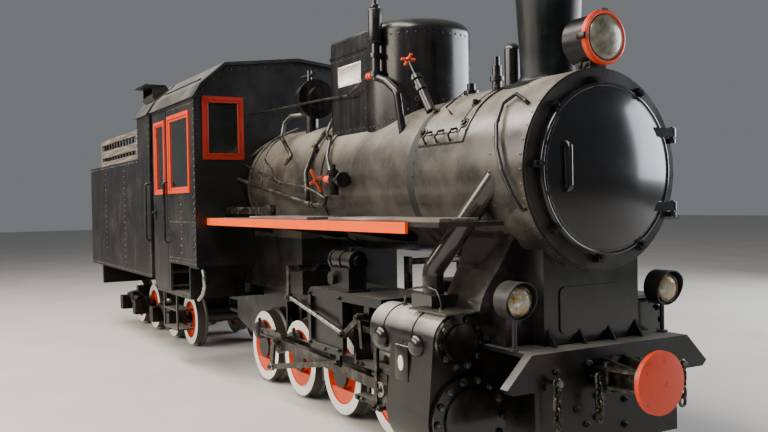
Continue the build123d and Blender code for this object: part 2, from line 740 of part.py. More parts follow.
def smokebox_saddle():
    """Box between the frames that carries the smokebox, with its foot and access cover."""
    box = block(900, SADDLE_FRONT, -SADDLE_HALF_WIDTH, SADDLE_HALF_WIDTH, FRAME_TOP, BOILER_Z - 300)
    foot_back = CYLINDER_FRONT + 70
    box += block(foot_back, SADDLE_FRONT - 100, -SADDLE_FOOT_HALF_WIDTH, SADDLE_FOOT_HALF_WIDTH, FRAME_TOP, FRAME_TOP + 200)
    box -= smokebox_outside()
    cover = Pos(-10, FRAME_TOP + 189) * RectangleRounded(480, 266, 40)
    box += cross_plate(cover, SADDLE_FRONT - 1, SADDLE_FRONT + 10)
    for y in (-0.92, -0.31, 0.31, 0.92):
        middle = y * SADDLE_HALF_WIDTH
        gusset = polygon(((SADDLE_FRONT, FRAME_TOP), (SADDLE_FRONT, FRAME_TOP + 95), (SADDLE_FRONT + 70, FRAME_TOP)))
        box += side_plate(gusset, 1, middle - 7, middle + 7)
    return box


def make_front():
    place("buffer_beam", buffer_beam())
    place("front_coupler", front_coupler())
    place("coupling_chains", coupling_chains())
    place("smokebox_saddle", smokebox_saddle())


def make_boiler():
    place("boiler", boiler())
    place("smokebox", smokebox())
    place("smokebox_door", smokebox_door())
    place("chimney", chimney())
    place("dome_casing", dome_casing())


def cylinder_block(side):
    """Cylinder and piston valve chest in one casting under a flat-sided jacket."""
    y = side * CYLINDER_Y
    cast = long_round(CYLINDER_RADIUS, CYLINDER_BACK, CYLINDER_FRONT, y, CYLINDER_Z)
    chest = long_round(CHEST_RADIUS, CHEST_BACK, CYLINDER_FRONT, side * CHEST_Y, CHEST_Z)
    jacket = polygon((
        (side * (CHEST_Y + CHEST_RADIUS), CHEST_Z),
        (side * (CYLINDER_Y + CYLINDER_RADIUS), CYLINDER_Z),
        (side * FRAME_OUT, CYLINDER_Z),
        (side * FRAME_OUT, CHEST_Z - 60),
        (side * (CHEST_Y - CHEST_RADIUS), CHEST_Z),
    ))
    cast += cross_plate(jacket, CYLINDER_BACK, CYLINDER_FRONT)
    cast += chest
    return cast


def cylinder_covers(side):
    """Round covers on both ends, the gland and the two relief valve domes."""
    y = side * CYLINDER_Y
    chest_y = side * CHEST_Y
    front_face = CYLINDER_FRONT + COVER_THICKNESS
    back_face = CYLINDER_BACK - COVER_THICKNESS
    front = long_round(CYLINDER_RADIUS - 14, CYLINDER_FRONT, front_face, y, CYLINDER_Z)
    front += long_round(CYLINDER_RADIUS - 90, CYLINDER_FRONT, front_face + 16, y, CYLINDER_Z)
    back = long_round(CYLINDER_RADIUS - 14, back_face, CYLINDER_BACK, y, CYLINDER_Z)
    back += long_round(70, back_face - 45, back_face, y, CYLINDER_Z)
    back += long_round(98, back_face - 18, back_face, y, CYLINDER_Z)
    chest_front = long_round(CHEST_RADIUS - 6, CYLINDER_FRONT, front_face, chest_y, CHEST_Z)
    chest_front += long_round(CHEST_RADIUS - 60, CYLINDER_FRONT, front_face + 14, chest_y, CHEST_Z)
    chest_back = long_round(CHEST_RADIUS - 30, CHEST_BACK - 40, CHEST_BACK, chest_y, CHEST_Z)
    solids = [front, back, chest_front, chest_back]
    for x in DOME_XS:
        dome = side_round(DOME_RADIUS, side, CHEST_Y + 60, CHEST_Y + CHEST_RADIUS + 46, x, CHEST_Z - 24)
        rim = dome.edges().filter_by(GeomType.CIRCLE).sort_by(Axis.Y)[0 if side < 0 else -1]
        dome = fillet(rim, DOME_RADIUS * 0.7) - cylinder_block(side)
        solids.append(dome.solids().sort_by(SortBy.VOLUME)[-1])
    return group(*solids)


def steam_pipe(side):
    """Pipe from the smokebox down to the valve chest, with a box foot."""
    y_top = side * 527
    y_low = side * 690
    run = [(1310, y_top, 1793), (892, y_low, 1250), (892, y_low, 900)]
    tube = pipe(64, run, 100)
    foot = block(790, 1010, y_low - 90, y_low + 90, 900, 1110)
    tube += foot
    tube -= smokebox_outside()
    tube -= long_round(CHEST_RADIUS, CHEST_BACK, CYLINDER_FRONT, side * CHEST_Y, CHEST_Z)
    tube -= block(0, 1600, -2000, 2000, 0, CHEST_Z)
    return tube.solids().sort_by(SortBy.VOLUME)[-1]


def chest_plate(side):
    """Footplate that rests on the valve chest in front of the running board."""
    top = CHEST_Z + CHEST_RADIUS
    plate = side_block(side, 860, CYLINDER_FRONT + 70, SADDLE_HALF_WIDTH, CHEST_Y + CHEST_RADIUS - 40, top, top + 10)
    return plate - steam_pipe(side)


def exhaust_casing(side):
    """Sheet casing over the exhaust branch from the chest plate to the smokebox."""
    low = CHEST_Z + CHEST_RADIUS + 10
    profile = polygon((
        (880, low),
        (CYLINDER_FRONT + 70, low),
        (CYLINDER_FRONT + 66, low + 100),
        (CYLINDER_FRONT + 80, low + 170),
        (CYLINDER_FRONT + 170, low + 400),
        (CYLINDER_FRONT + 120, BOILER_Z - 260),
        (900, BOILER_Z - 260),
    ))
    section = polygon([(side * y, z) for y, z in (
        (SADDLE_HALF_WIDTH, low),
        (SADDLE_HALF_WIDTH + 255, low),
        (SADDLE_HALF_WIDTH + 235, low + 60),
        (SADDLE_HALF_WIDTH + 150, low + 220),
        (SADDLE_HALF_WIDTH + 90, low + 400),
        (SADDLE_HALF_WIDTH + 80, BOILER_Z - 260),
        (SADDLE_HALF_WIDTH, BOILER_Z - 260),
    )])
    casing = side_plate(profile, side, SADDLE_HALF_WIDTH, SADDLE_HALF_WIDTH + 260) & cross_plate(section, 800, 1500)
    casing -= smokebox_outside()
    casing -= steam_pipe(side)
    return casing.solids().sort_by(SortBy.VOLUME)[-1]


def motion_bracket(side):
    """Bracket over the wheels: an outer ring with its plate, cross webs and slide bars."""
    front = CHEST_BACK - 45
    middle_x = (RING_REAR + RING_FRONT) / 2
    middle_z = (RING_BOTTOM + BRACKET_TOP) / 2
    width = RING_FRONT - RING_REAR
    height = BRACKET_TOP - RING_BOTTOM
    ring = Pos(middle_x, middle_z) * RectangleRounded(width, height, 70)
    ring -= Pos(middle_x, middle_z) * RectangleRounded(width - 2 * RING_BAR, height - 2 * RING_BAR, 40)
    bracket = side_plate(ring, side, BRACKET_IN, BRACKET_OUT)
    bracket += side_block(side, RING_REAR + RING_BAR - 1, RING_FRONT - RING_BAR + 1, BRACKET_IN, BRACKET_IN + 10,
                          RING_BOTTOM + RING_BAR - 1, BRACKET_TOP - RING_BAR)
    bracket += side_block(side, RING_REAR + 70, front, BRACKET_IN, BRACKET_OUT, BRACKET_TOP - 62, BRACKET_TOP)
    bracket += side_block(side, RING_REAR + 40, front, FRAME_IN + 20, BRACKET_OUT, BRACKET_TOP - 12, BRACKET_TOP)
    for x in (RING_REAR + 70, RING_FRONT - 50):
        web = polygon((
            (side * FRAME_OUT, 720),
            (side * FRAME_OUT, BRACKET_TOP),
            (side * BRACKET_IN, BRACKET_TOP),
            (side * BRACKET_IN, BRACKET_TOP - 110),
            (side * (FRAME_OUT + 255), BRACKET_TOP - 110),
            (side * (FRAME_OUT + 180), 720),
        ))
        bracket += cross_plate(web, x, x + 34)
    slipper = SLIDE_BAR_GAP / 2
    bar_in = MAIN_ROD_OUT - MAIN_ROD_THICKNESS - 25
    bar_out = MAIN_ROD_OUT + 25
    for low in (CYLINDER_Z + slipper, CYLINDER_Z - slipper - SLIDE_BAR_DEPTH):
        bar = side_block(side, -130, CYLINDER_BACK - COVER_THICKNESS, bar_in, bar_out, low, low + SLIDE_BAR_DEPTH)
        bracket += bar
    yoke = side_block(side, -150, -116, bar_in - 20, bar_out, CYLINDER_Z - slipper - SLIDE_BAR_DEPTH, BRACKET_TOP - 100)
    yoke -= side_block(side, -160, -100, bar_in, bar_out + 12, CYLINDER_Z - slipper, CYLINDER_Z + slipper)
    bracket += yoke
    bracket += side_block(side, BELL_CRANK[0] - 36, BELL_CRANK[0] + 36, BRACKET_IN, BRACKET_IN + 18,
                          BELL_CRANK[1] - 36, BRACKET_TOP - 61)
    return bracket


def valve_gear(side):
    """Return crank, eccentric rod, expansion link, radius rod, combination lever."""
    pin = crankpin(AXLES[DRIVEN_AXLE], side)
    inner = MAIN_ROD_OUT + 30
    outer = inner + 22
    arm = math.radians(CRANK_ANGLE[side] + 180 - 12)
    reach = 210
    small = (pin[0] + reach * math.cos(arm), pin[1] + reach * math.sin(arm))
    link_x = RING_FRONT - 200
    foot = (link_x, 500)
    lever_x = crosshead_x(side) - 40
    gear = link(pin, small, 70, side, inner, outer)
    gear += link(small, foot, 44, side, inner, outer)
    gear += link(foot, (link_x, 880), 62, side, inner, outer)
    gear += link((link_x, 820), (lever_x, 790), 40, side, inner, outer)
    gear += link((lever_x, 860), (lever_x - 10, CYLINDER_Z - 130), 40, side, inner, outer)
    gear += link((lever_x - 10, CYLINDER_Z - 120), (lever_x + 60, CYLINDER_Z - 120), 36, side, inner, outer)
    gear += long_round(18, lever_x, CHEST_BACK - 40, side * CHEST_Y, CHEST_Z)
    return gear


def reversing_rod(side):
    """Reversing shaft with its arm, the rod outside the bracket and the bell crank."""
    inner = BRACKET_OUT + 10
    outer = inner + 16
    shaft_x, shaft_z = REVERSING_SHAFT
    rod = side_round(28, side, FRAME_IN, outer + 16, shaft_x, shaft_z)
    rod += side_block(side, shaft_x - 45, shaft_x + 45, FRAME_IN, FRAME_OUT, FRAME_TOP, shaft_z + 45)
    rod += link(REVERSING_SHAFT, REVERSING_ARM_END, 46, side, outer, outer + 16)
    rod += link(REVERSING_ARM_END, BELL_CRANK_END, 34, side, inner, outer)
    for end in (REVERSING_ARM_END, BELL_CRANK_END):
        rod += side_round(24, side, inner - 4, outer + 22, *end)
    rod += link(BELL_CRANK, BELL_CRANK_END, 38, side, outer, outer + 16)
    rod += link(BELL_CRANK, (BELL_CRANK[0] + 22, BELL_CRANK[1] - 190), 34, side, outer, outer + 16)
    rod += side_round(26, side, BRACKET_IN + 18, outer + 24, *BELL_CRANK)
    return rod


def reach_rod():
    """Bar from the cab along the running board to the reversing shaft."""
    y = 750
    rod = side_block(-1, -1470, CAB_FRONT, y - 10, y + 10, BOARD_TOP + 36, BOARD_TOP + 98)
    rod += side_block(-1, -1520, -1440, y - 26, y + 26, BOARD_TOP, BOARD_TOP + 112)
    return rod


def lubricator(side):
    """Drum-shaped mechanical lubricator on a box, standing on the motion bracket."""
    low = BRACKET_TOP
    body = side_block(side, -390, -110, 600, 740, low, low + 165)
    body += side_block(side, -410, -90, 585, 755, low, low + 14)
    body += long_round(66, -430, -90, side * 670, low + 215)
    for x in (-430, -275, -120):
        body += long_round(74, x, x + 24, side * 670, low + 215)
    body += long_round(40, -452, -68, side * 670, low + 215)
    body += side_round(46, side, 740, 775, -330, low + 90)
    body += upright(20, -190, side * 670, low + 270, low + 310)
    return body


def make_engine_works():
    place("cylinders", group(cylinder_block(-1), cylinder_block(1)))
    place("cylinder_covers", group(cylinder_covers(-1), cylinder_covers(1)))
    place("steam_pipes", group(*[make(side) for make in (steam_pipe, chest_plate, exhaust_casing) for side in SIDES]))
    place("motion_brackets", group(motion_bracket(-1), motion_bracket(1)))
    place("valve_gear", group(valve_gear(-1), valve_gear(1), reversing_rod(-1), reversing_rod(1), reach_rod()))
    place("lubricators", group(lubricator(-1), lubricator(1)))


def running_board(side):
    """Board along the boiler on three arms that meet the jacket."""
    under = BOARD_TOP - BOARD_THICKNESS
    board = side_block(side, CAB_FRONT, BOARD_FRONT, 300, BOARD_EDGE - STRIPE_THICKNESS, under, BOARD_TOP)
    for x in (-2150, -900, 150):
        arm = polygon((
            (side * (BOARD_EDGE - 45), under + 1),
            (side * 340, under + 1),
            (side * 340, under - 130),
            (side * 430, under - 130),
            (side * (BOARD_EDGE - 45), under - 45),
        ))
        board += cross_plate(arm, x, x + 14)
    board -= boiler_outside()
    board -= smokebox_outside()
    board -= steam_pipe(side)
    board -= side_block(side, FIREBOX_BACK, FIREBOX_FRONT, 0, FIREBOX_HALF_WIDTH, 1000, 1800)
    return board.solids().sort_by(SortBy.VOLUME)[-1]


def board_edge(side):
    """Coloured angle along the outer edge of the running board."""
    return side_block(side, CAB_FRONT, STRIPE_FRONT, BOARD_EDGE - STRIPE_THICKNESS, BOARD_EDGE,
                      BOARD_TOP - STRIPE_HEIGHT, BOARD_TOP)


def roof_points(drop):
    """Half outline of the cab roof, lowered by the given amount."""
    right = [(-y, z - drop) for y, z in CAB_OUTLINE]
    left = [(y, z - drop) for y, z in reversed(CAB_OUTLINE[:-1])]
    return right + left


def cab_section(bottom):
    """Whole cab cross-section under the roof sheet."""
    return polygon(roof_points(0) + [(CAB_HALF_WIDTH, bottom), (-CAB_HALF_WIDTH, bottom)])


def roof_sheet(x0, x1):
    """Roof of even thickness over the cab section."""
    outer = [(y, z + ROOF_THICKNESS) for y, z in roof_points(0)]
    outer[0] = (-CAB_HALF_WIDTH - ROOF_THICKNESS, EAVE_Z)
    outer[-1] = (CAB_HALF_WIDTH + ROOF_THICKNESS, EAVE_Z)
    inner = list(reversed(roof_points(0)))
    return cross_plate(polygon(outer + inner), x0, x1)


def window_hole_front(side, grow):
    inner, outer, low, high = FRONT_WINDOW
    return side_block(side, CAB_FRONT - CAB_WALL - 1, CAB_FRONT + 1, inner - grow, outer + grow, low - grow, high + grow)


def cab_front():
    wall = cross_plate(cab_section(SIDE_BOTTOM), CAB_FRONT - CAB_WALL, CAB_FRONT)
    wall -= boiler_round(BARREL_RADIUS, FIREBOX_BACK, SMOKEBOX_BACK)
    wall -= block(CAB_FRONT - 100, CAB_FRONT + 1, -FIREBOX_HALF_WIDTH, FIREBOX_HALF_WIDTH, 800, BOILER_Z)
    for side in SIDES:
        wall -= window_hole_front(side, 0)
    return wall


def cab_side(side):
    x0, x1, z0, z1 = SIDE_WINDOW
    wall_in = CAB_HALF_WIDTH - CAB_WALL
    wall = side_block(side, SIDE_REAR, CAB_FRONT - CAB_WALL, wall_in, CAB_HALF_WIDTH, SIDE_BOTTOM, EAVE_Z)
    wall += side_block(side, CAB_REAR, CAB_FRONT - CAB_WALL, wall_in, CAB_HALF_WIDTH, DOOR_TOP + 6, EAVE_Z)
    wall += side_block(side, SIDE_REAR, SIDE_REAR + 60, wall_in, CAB_HALF_WIDTH, CAB_FLOOR_TOP, SIDE_BOTTOM + 1)
    wall -= side_block(side, x0, x1, wall_in - 1, CAB_HALF_WIDTH + 1, z0, z1)
    for z in DOOR_HINGE_ZS:
        wall += side_block(side, DOOR_HINGE_X, SIDE_REAR + 26, DOOR_HINGE_Y - 8, wall_in, z - KNUCKLE_HEIGHT, z)
        wall += upright(KNUCKLE_RADIUS, DOOR_HINGE_X, side * DOOR_HINGE_Y, z - KNUCKLE_HEIGHT, z)
        wall += upright(HINGE_PIN_RADIUS, DOOR_HINGE_X, side * DOOR_HINGE_Y, z - 1, z + KNUCKLE_HEIGHT)
    return wall


def cab_floor():
    floor = block(CAB_REAR, FIREBOX_BACK, -CAB_HALF_WIDTH + CAB_WALL, CAB_HALF_WIDTH - CAB_WALL,
                  CAB_FLOOR_TOP - CAB_FLOOR_THICKNESS, CAB_FLOOR_TOP)
    for side in SIDES:
        floor += side_block(side, FIREBOX_BACK - 1, CAB_FRONT - CAB_WALL, FIREBOX_HALF_WIDTH + 2,
                            CAB_HALF_WIDTH - CAB_WALL, SIDE_BOTTOM - 20, SIDE_BOTTOM)
        floor += side_block(side, FIREBOX_BACK - 30, FIREBOX_BACK, FIREBOX_HALF_WIDTH + 2,
                            CAB_HALF_WIDTH - CAB_WALL, CAB_FLOOR_TOP - 1, SIDE_BOTTOM)
    return floor


def cab_steps(side):
    """Two treads hung below each cab doorway."""
    steps = None
    for x in (SIDE_REAR - 20, CAB_REAR + 60):
        post = side_block(side, x - 16, x + 16, 960, 976, 360, CAB_FLOOR_TOP - CAB_FLOOR_THICKNESS)
        steps = post if steps is None else steps + post
    for low in (360, 560):
        steps += side_block(side, CAB_REAR + 60, SIDE_REAR - 20, 800, 976, low, low + 14)
    return steps


def rim_and_pane(x0, x1, z0, z1, side, inner, outer):
    """Window frame and its pane for a window in a side wall."""
    depth = outer - inner
    rim = side_block(side, x0, x1, inner, outer + 12, z0, z1)
    hole = side_block(side, x0 + WINDOW_RIM, x1 - WINDOW_RIM, inner - 1, outer + 13, z0 + WINDOW_RIM, z1 - WINDOW_RIM)
    middle = inner + depth / 2
    pane = side_block(side, x0 + WINDOW_RIM, x1 - WINDOW_RIM, middle - 3, middle + 3, z0 + WINDOW_RIM, z1 - WINDOW_RIM)
    return rim - hole, pane


def front_rim_and_pane(side):
    inner, outer, low, high = FRONT_WINDOW
    rim = side_block(side, CAB_FRONT - CAB_WALL, CAB_FRONT + 12, inner, outer, low, high)
    hole = side_block(side, CAB_FRONT - CAB_WALL - 1, CAB_FRONT + 13, inner + WINDOW_RIM, outer - WINDOW_RIM,
                      low + WINDOW_RIM, high - WINDOW_RIM)
    pane = side_block(side, CAB_FRONT - 16, CAB_FRONT - 10, inner + WINDOW_RIM, outer - WINDOW_RIM,
                      low + WINDOW_RIM, high - WINDOW_RIM)
    return rim - hole, pane


def cab_door(side):
    """Full-height door hinged on the rear edge of the side sheet."""
    x0, x1, z0, z1 = DOOR_WINDOW
    hinge = SIDE_REAR - DOOR_HINGE_GAP
    wall_in = CAB_HALF_WIDTH - CAB_WALL
    leaf = side_block(side, CAB_REAR + 8, hinge, wall_in, CAB_HALF_WIDTH, DOOR_BOTTOM, DOOR_TOP)
    leaf -= side_block(side, x0, x1, wall_in - 1, CAB_HALF_WIDTH + 1, z0, z1)
    for z in DOOR_HINGE_ZS:
        low = z + KNUCKLE_GAP
        leaf += side_block(side, hinge - 40, DOOR_HINGE_X, DOOR_HINGE_Y - 8, wall_in, low, z + KNUCKLE_HEIGHT)
        leaf += upright(KNUCKLE_RADIUS, DOOR_HINGE_X, side * DOOR_HINGE_Y, low, z + KNUCKLE_HEIGHT)
        leaf -= upright(HINGE_PIN_RADIUS + PIN_CLEARANCE, DOOR_HINGE_X, side * DOOR_HINGE_Y, z - 2,
                        z + KNUCKLE_HEIGHT + 1)
    return leaf


def make_cab():
    place("cab_front", cab_front())
    place("cab_sides", group(cab_side(-1), cab_side(1)))
    place("cab_roof", roof_sheet(CAB_REAR - 10, CAB_FRONT + 60))
    place("cab_floor", cab_floor())
    place("cab_steps", group(cab_steps(-1), cab_steps(1)))
    rims = []
    panes = []
    wall_in = CAB_HALF_WIDTH - CAB_WALL
    for side in SIDES:
        for rim, pane in (rim_and_pane(*SIDE_WINDOW, side, wall_in, CAB_HALF_WIDTH), front_rim_and_pane(side)):
            rims.append(rim)
            panes.append(pane)
    place("window_frames", group(*rims))
    place("cab_glass", group(*panes))
    for side, name in ((-1, "right"), (1, "left")):
        rim, pane = rim_and_pane(*DOOR_WINDOW, side, wall_in, CAB_HALF_WIDTH)
        place(f"cab_door_{name}", cab_door(side) + rim)
        place(f"door_glass_{name}", pane)


def headlamp():
    """Drum lamp on a bracket over the smokebox."""
    z = 2552
    drum = long_round(140, 1430, 1600, 0, z)
    ring = long_round(153, 1600, 1630, 0, z)
    lens = long_round(128, 1629, 1634, 0, z)
    foot = block(1450, 1570, -60, 60, BOILER_Z + SMOKEBOX_RADIUS - 40, z - 100)
    lamp = drum + ring + lens + foot
    return lamp - smokebox_outside()


def marker_lamp(side):
    """Round lamp on a stalk, its hood cut back below and its lens set inside."""
    y = side * 565
    z = BEAM_TOP + 270
    back = SADDLE_FRONT - 50
    front = back + 130
    lamp = long_round(LAMP_RADIUS, back, front, y, z)
    lamp -= long_round(LAMP_RADIUS - 6, back + 70, front + 1, y, z)
    trim = polygon(((front - 45, z - LAMP_RADIUS - 1), (front + 1, z - LAMP_RADIUS - 1), (front + 1, z + LAMP_RADIUS * 0.6)))
    lamp -= side_plate(trim, side, 400, 700)
    lamp += long_round(LAMP_RADIUS - 40, back - 24, back + 1, y, z)
    lamp += dome_lens(back + 69, y, z)
    lamp += upright(14, back + 45, y, BEAM_TOP, z - LAMP_RADIUS + 6)
    lamp += upright(34, back + 45, y, BEAM_TOP, BEAM_TOP + 10)
    return lamp


def dome_lens(x, y, z):
    """Slightly crowned lens that faces forwards."""
    return Pos(0, y, 0) * dished_round(LAMP_RADIUS - 26, x, x + 8, x + 22, z)


def handrails():
    """Rails beside the cab doors and the curved rails round the smokebox."""
    rails = []
    out = CAB_HALF_WIDTH + 45
    rail_run = ((-100, 39.3, -20), (-107, 39.3, 36), (-247, 46.4, 40), (-308, 40, 40), (-267, 26, 40), (-208, 12, 40),
                (-149, 0, 40), (-81, -12.5, 40), (-36, -21.7, 36), (-36, -21.7, -20))
    for side in SIDES:
        x = SIDE_REAR + 30
        rails.append(pipe(12, [(x, side * CAB_HALF_WIDTH, 1290), (x, side * out, 1290),
                               (x, side * out, 1910), (x, side * CAB_HALF_WIDTH, 1910)], 25))
        route = []
        for back, angle, clear in rail_run:
            turn = math.radians(angle)
            radius = SMOKEBOX_RADIUS + clear
            route.append((SMOKEBOX_FRONT + back, side * radius * math.cos(turn), BOILER_Z + radius * math.sin(turn)))
        rails.append(pipe(12, route, 16) - smokebox_outside())
    return group(*rails)


def turbo_generator():
    """Round body with its flange and end cover, on a neck; the exhaust rises from it."""
    x, y, z = TURBO
    body = long_round(TURBO_RADIUS, x - 110, x + 100, y, z)
    body = fillet(body.edges().filter_by(GeomType.CIRCLE), TURBO_RADIUS * 0.47)
    body += long_round(TURBO_RADIUS + 26, x + 88, x + 112, y, z)
    body += long_round(TURBO_RADIUS - 50, x + 100, x + 190, y, z)
    body += upright(TURBO_NECK_RADIUS, x, y, BOILER_Z + 300, z - TURBO_RADIUS * 0.4)
    body += upright(22, x - 40, y, z + TURBO_RADIUS * 0.67, z + 270)
    body += long_round(15, x - 190, x + 60, y, z + 225)
    return body


def boiler_fittings():
    """Safety valve, turbo-generator, whistle and check valves on the boiler."""
    turbo = turbo_generator() - boiler_outside()

    column_x, column_y = COLUMN
    column = upright(30, column_x, column_y, 2540, 3040)
    for low, high, radius in ((2560, 2600, 44), (2700, 2730, 42), (2880, 2960, 46), (3010, 3050, 38), (3040, 3110, 20)):
        column += upright(radius, column_x, column_y, low, high)
    elbow = pipe(27, [(column_x, column_y, 2560), (column_x + 150, column_y, 2510),
                      (column_x + 290, column_y, 2420), (column_x + 330, column_y + 20, 2120)], 50)
    column += elbow
    column -= boiler_outside()
    column -= dome_casing()

    generator = upright(52, 805, 0, BOILER_Z + 400, 2610) + Pos(805, 0, 2610) * Sphere(52)
    valve = upright(32, 640, 0, BOILER_Z + 400, 2540) + upright(46, 640, 0, 2440, 2470) + upright(20, 640, 0, 2540, 2600)
    flange = upright(52, 350, 0, BOILER_Z + 400, BOILER_Z + BARREL_RADIUS + 60) + upright(30, 350, 0, 2400, 2460)

    angled = Cylinder(34, 330) + Pos(0, 0, 130) * Cylinder(46, 26) + Pos(0, 0, 40) * Cylinder(44, 40)
    angled += Pos(0, 0, 230) * Cylinder(9, 170) + Pos(-52, 0, 20) * Rot(0, 90, 0) * Cylinder(17, 70)
    angled = Pos(205, -300, 2400) * Rot(0, -36, 0) * angled
    angled -= boiler_outside()
    angled -= dome_casing()

    check_y = -BARREL_RADIUS - 65
    check = upright(38, CHECK_X, check_y, BOILER_Z - 100, BOILER_Z + 90)
    check += upright(52, CHECK_X, check_y, BOILER_Z - 40, BOILER_Z - 10) + upright(52, CHECK_X, check_y, BOILER_Z + 50, BOILER_Z + 74)
    check += upright(20, CHECK_X, check_y, BOILER_Z + 80, BOILER_Z + 130)
    check += side_round(34, -1, 500, BARREL_RADIUS + 65, CHECK_X, BOILER_Z + 20)
    check += long_round(26, CHECK_X, CHECK_X + 150, check_y, BOILER_Z + 10)
    check += long_round(58, CHECK_X + 140, CHECK_X + 165, check_y, BOILER_Z + 10)
    check += long_round(12, CHECK_X - 300, CHECK_X, check_y, BOILER_Z + 20)
    check -= boiler_outside()
    solids = [turbo, column, generator - smokebox_outside(), valve - smokebox_outside(),
              flange - boiler_outside() - smokebox_outside(), angled, check]
    return group(*[shape.solids().sort_by(SortBy.VOLUME)[-1] for shape in solids])


def valve_handles():
    """Coloured handles of the check valve, the angled valve and the whistle valve."""
    check_y = -BARREL_RADIUS - 65
    wheel_x = CHECK_X - 300
    wheel = long_round(20, wheel_x - 14, wheel_x, check_y, BOILER_Z + 20)
    wheel += Pos(wheel_x - 7, check_y, BOILER_Z + 20) * Rot(28, 0, 0) * Box(14, 22, 190)
    wheel += Pos(wheel_x - 7, check_y, BOILER_Z + 20) * Rot(118, 0, 0) * Box(14, 22, 120)
    bonnet = long_round(30, CHECK_X - 120, CHECK_X - 39, check_y, BOILER_Z + 20)
    bonnet -= long_round(12 + KNUCKLE_GAP, CHECK_X - 400, CHECK_X, check_y, BOILER_Z + 20)
    angled = Pos(0, 0, 322) * Cylinder(20, 14) + Pos(0, 0, 322) * Box(110, 18, 14) + Pos(0, 0, 322) * Box(18, 110, 14)
    angled = Pos(205, -300, 2400) * Rot(0, -36, 0) * angled
    column_x, column_y = COLUMN
    whistle = long_round(24, column_x - 120, column_x - 44, column_y, 2580)
    whistle += long_round(30, column_x - 100, column_x - 84, column_y, 2580)
    return group(wheel, bonnet, angled, whistle)


def backhead():
    """Boiler end inside the cab, with the firehole door and the regulator."""
    face = FIREBOX_BACK
    plate = boiler_round(BARREL_RADIUS - 60, face - 30, face)
    plate += block(face - 30, face, -FIREBOX_HALF_WIDTH + 60, FIREBOX_HALF_WIDTH - 60, CAB_FLOOR_TOP, BOILER_Z)
    plate += long_round(150, face - 70, face - 30, 0, 1350)
    plate += long_round(26, face - 130, face - 30, 0, 2080)
    plate += block(face - 130, face - 110, -170, 30, 2066, 2094)
    for y in (-180, 0, 180):
        plate += long_round(58, face - 60, face - 30, y, 2200 - abs(y) * 0.3)
    return plate


def on_jacket(x, z, radius):
    """Point beside the jacket on the right, at a radius from the boiler's axis."""
    return (x, -math.sqrt(radius ** 2 - (z - BOILER_Z) ** 2), z)


def boiler_pipes():
    """Feed, steam and sand pipes that run over the right side of the jacket."""
    feed_y = -BARREL_RADIUS - 88
    feed = pipe(17, [(CAB_FRONT - 10, feed_y, 1905), (-2060, feed_y, 1818), (-960, feed_y, 1650), (-690, feed_y - 14, 1640),
                     (CHECK_X - 60, feed_y - 14, BOILER_Z - 100)], 40)
    for x in (-980, -930):
        feed += long_round(27, x, x + 26, feed_y, 1650)
    thin = pipe(8, [on_jacket(CAB_FRONT - 10, 2050, 610), on_jacket(-2210, 1965, 610), on_jacket(-1640, 1845, 612),
                    on_jacket(-1090, 1790, 612), on_jacket(-900, 1745, 610), on_jacket(-760, 1690, 605)], 60)
    loop = pipe(7, [on_jacket(CAB_FRONT - 10, 2120, 575), on_jacket(-2500, 2200, 575), on_jacket(-2330, 2310, 575),
                    on_jacket(-2180, 2365, 575)], 60)
    whistle_rod = pipe(8, [(CAB_FRONT - 10, -440, 2535), (-1100, -440, 2500), (-650, -440, 2478), (-350, -436, 2580)], 60)
    bent = pipe(18, [(TURBO[0], TURBO[1] - 30, 2455), (-2010, -320, 2462), (-2060, -370, 2400), (-1960, -440, 2256),
                     (-1460, -563, 2061), (-1560, -585, 2000)], 22)
    bent -= turbo_generator()
    sand = pipe(20, [(CASING_REAR + 30, -270, 2384), (-1210, -270, 2384), on_jacket(-1225, 2300, 575), on_jacket(-1158, 2143, 575),
                     on_jacket(-1170, 1907, 575), on_jacket(-1150, 1760, 575), on_jacket(-1170, 1640, 575)], 25)
    steam = pipe(14, [(CASING_REAR + 40, -330, 2330), (-1165, -330, 2330), on_jacket(-1130, 2235, 570), on_jacket(-925, 2150, 570),
                      on_jacket(-850, 2020, 566), on_jacket(-740, 1870, 556), on_jacket(-750, 1800, 556)], 20)
    around = boiler_outside() + block(CAB_REAR, CAB_FRONT, -CAB_HALF_WIDTH, CAB_HALF_WIDTH, BOILER_Z, EAVE_Z)
    around += dome_casing()
    pipes = [run - around for run in (feed, thin, loop, whistle_rod, bent, sand, steam)]
    return group(*pipes)


def make_fittings():
    place("headlamp", headlamp())
    place("marker_lamps", group(marker_lamp(-1), marker_lamp(1)))
    place("handrails", handrails())
    place("boiler_fittings", boiler_fittings())
    place("backhead", backhead())
    place("valve_handles", valve_handles())
    place("boiler_pipes", boiler_pipes())


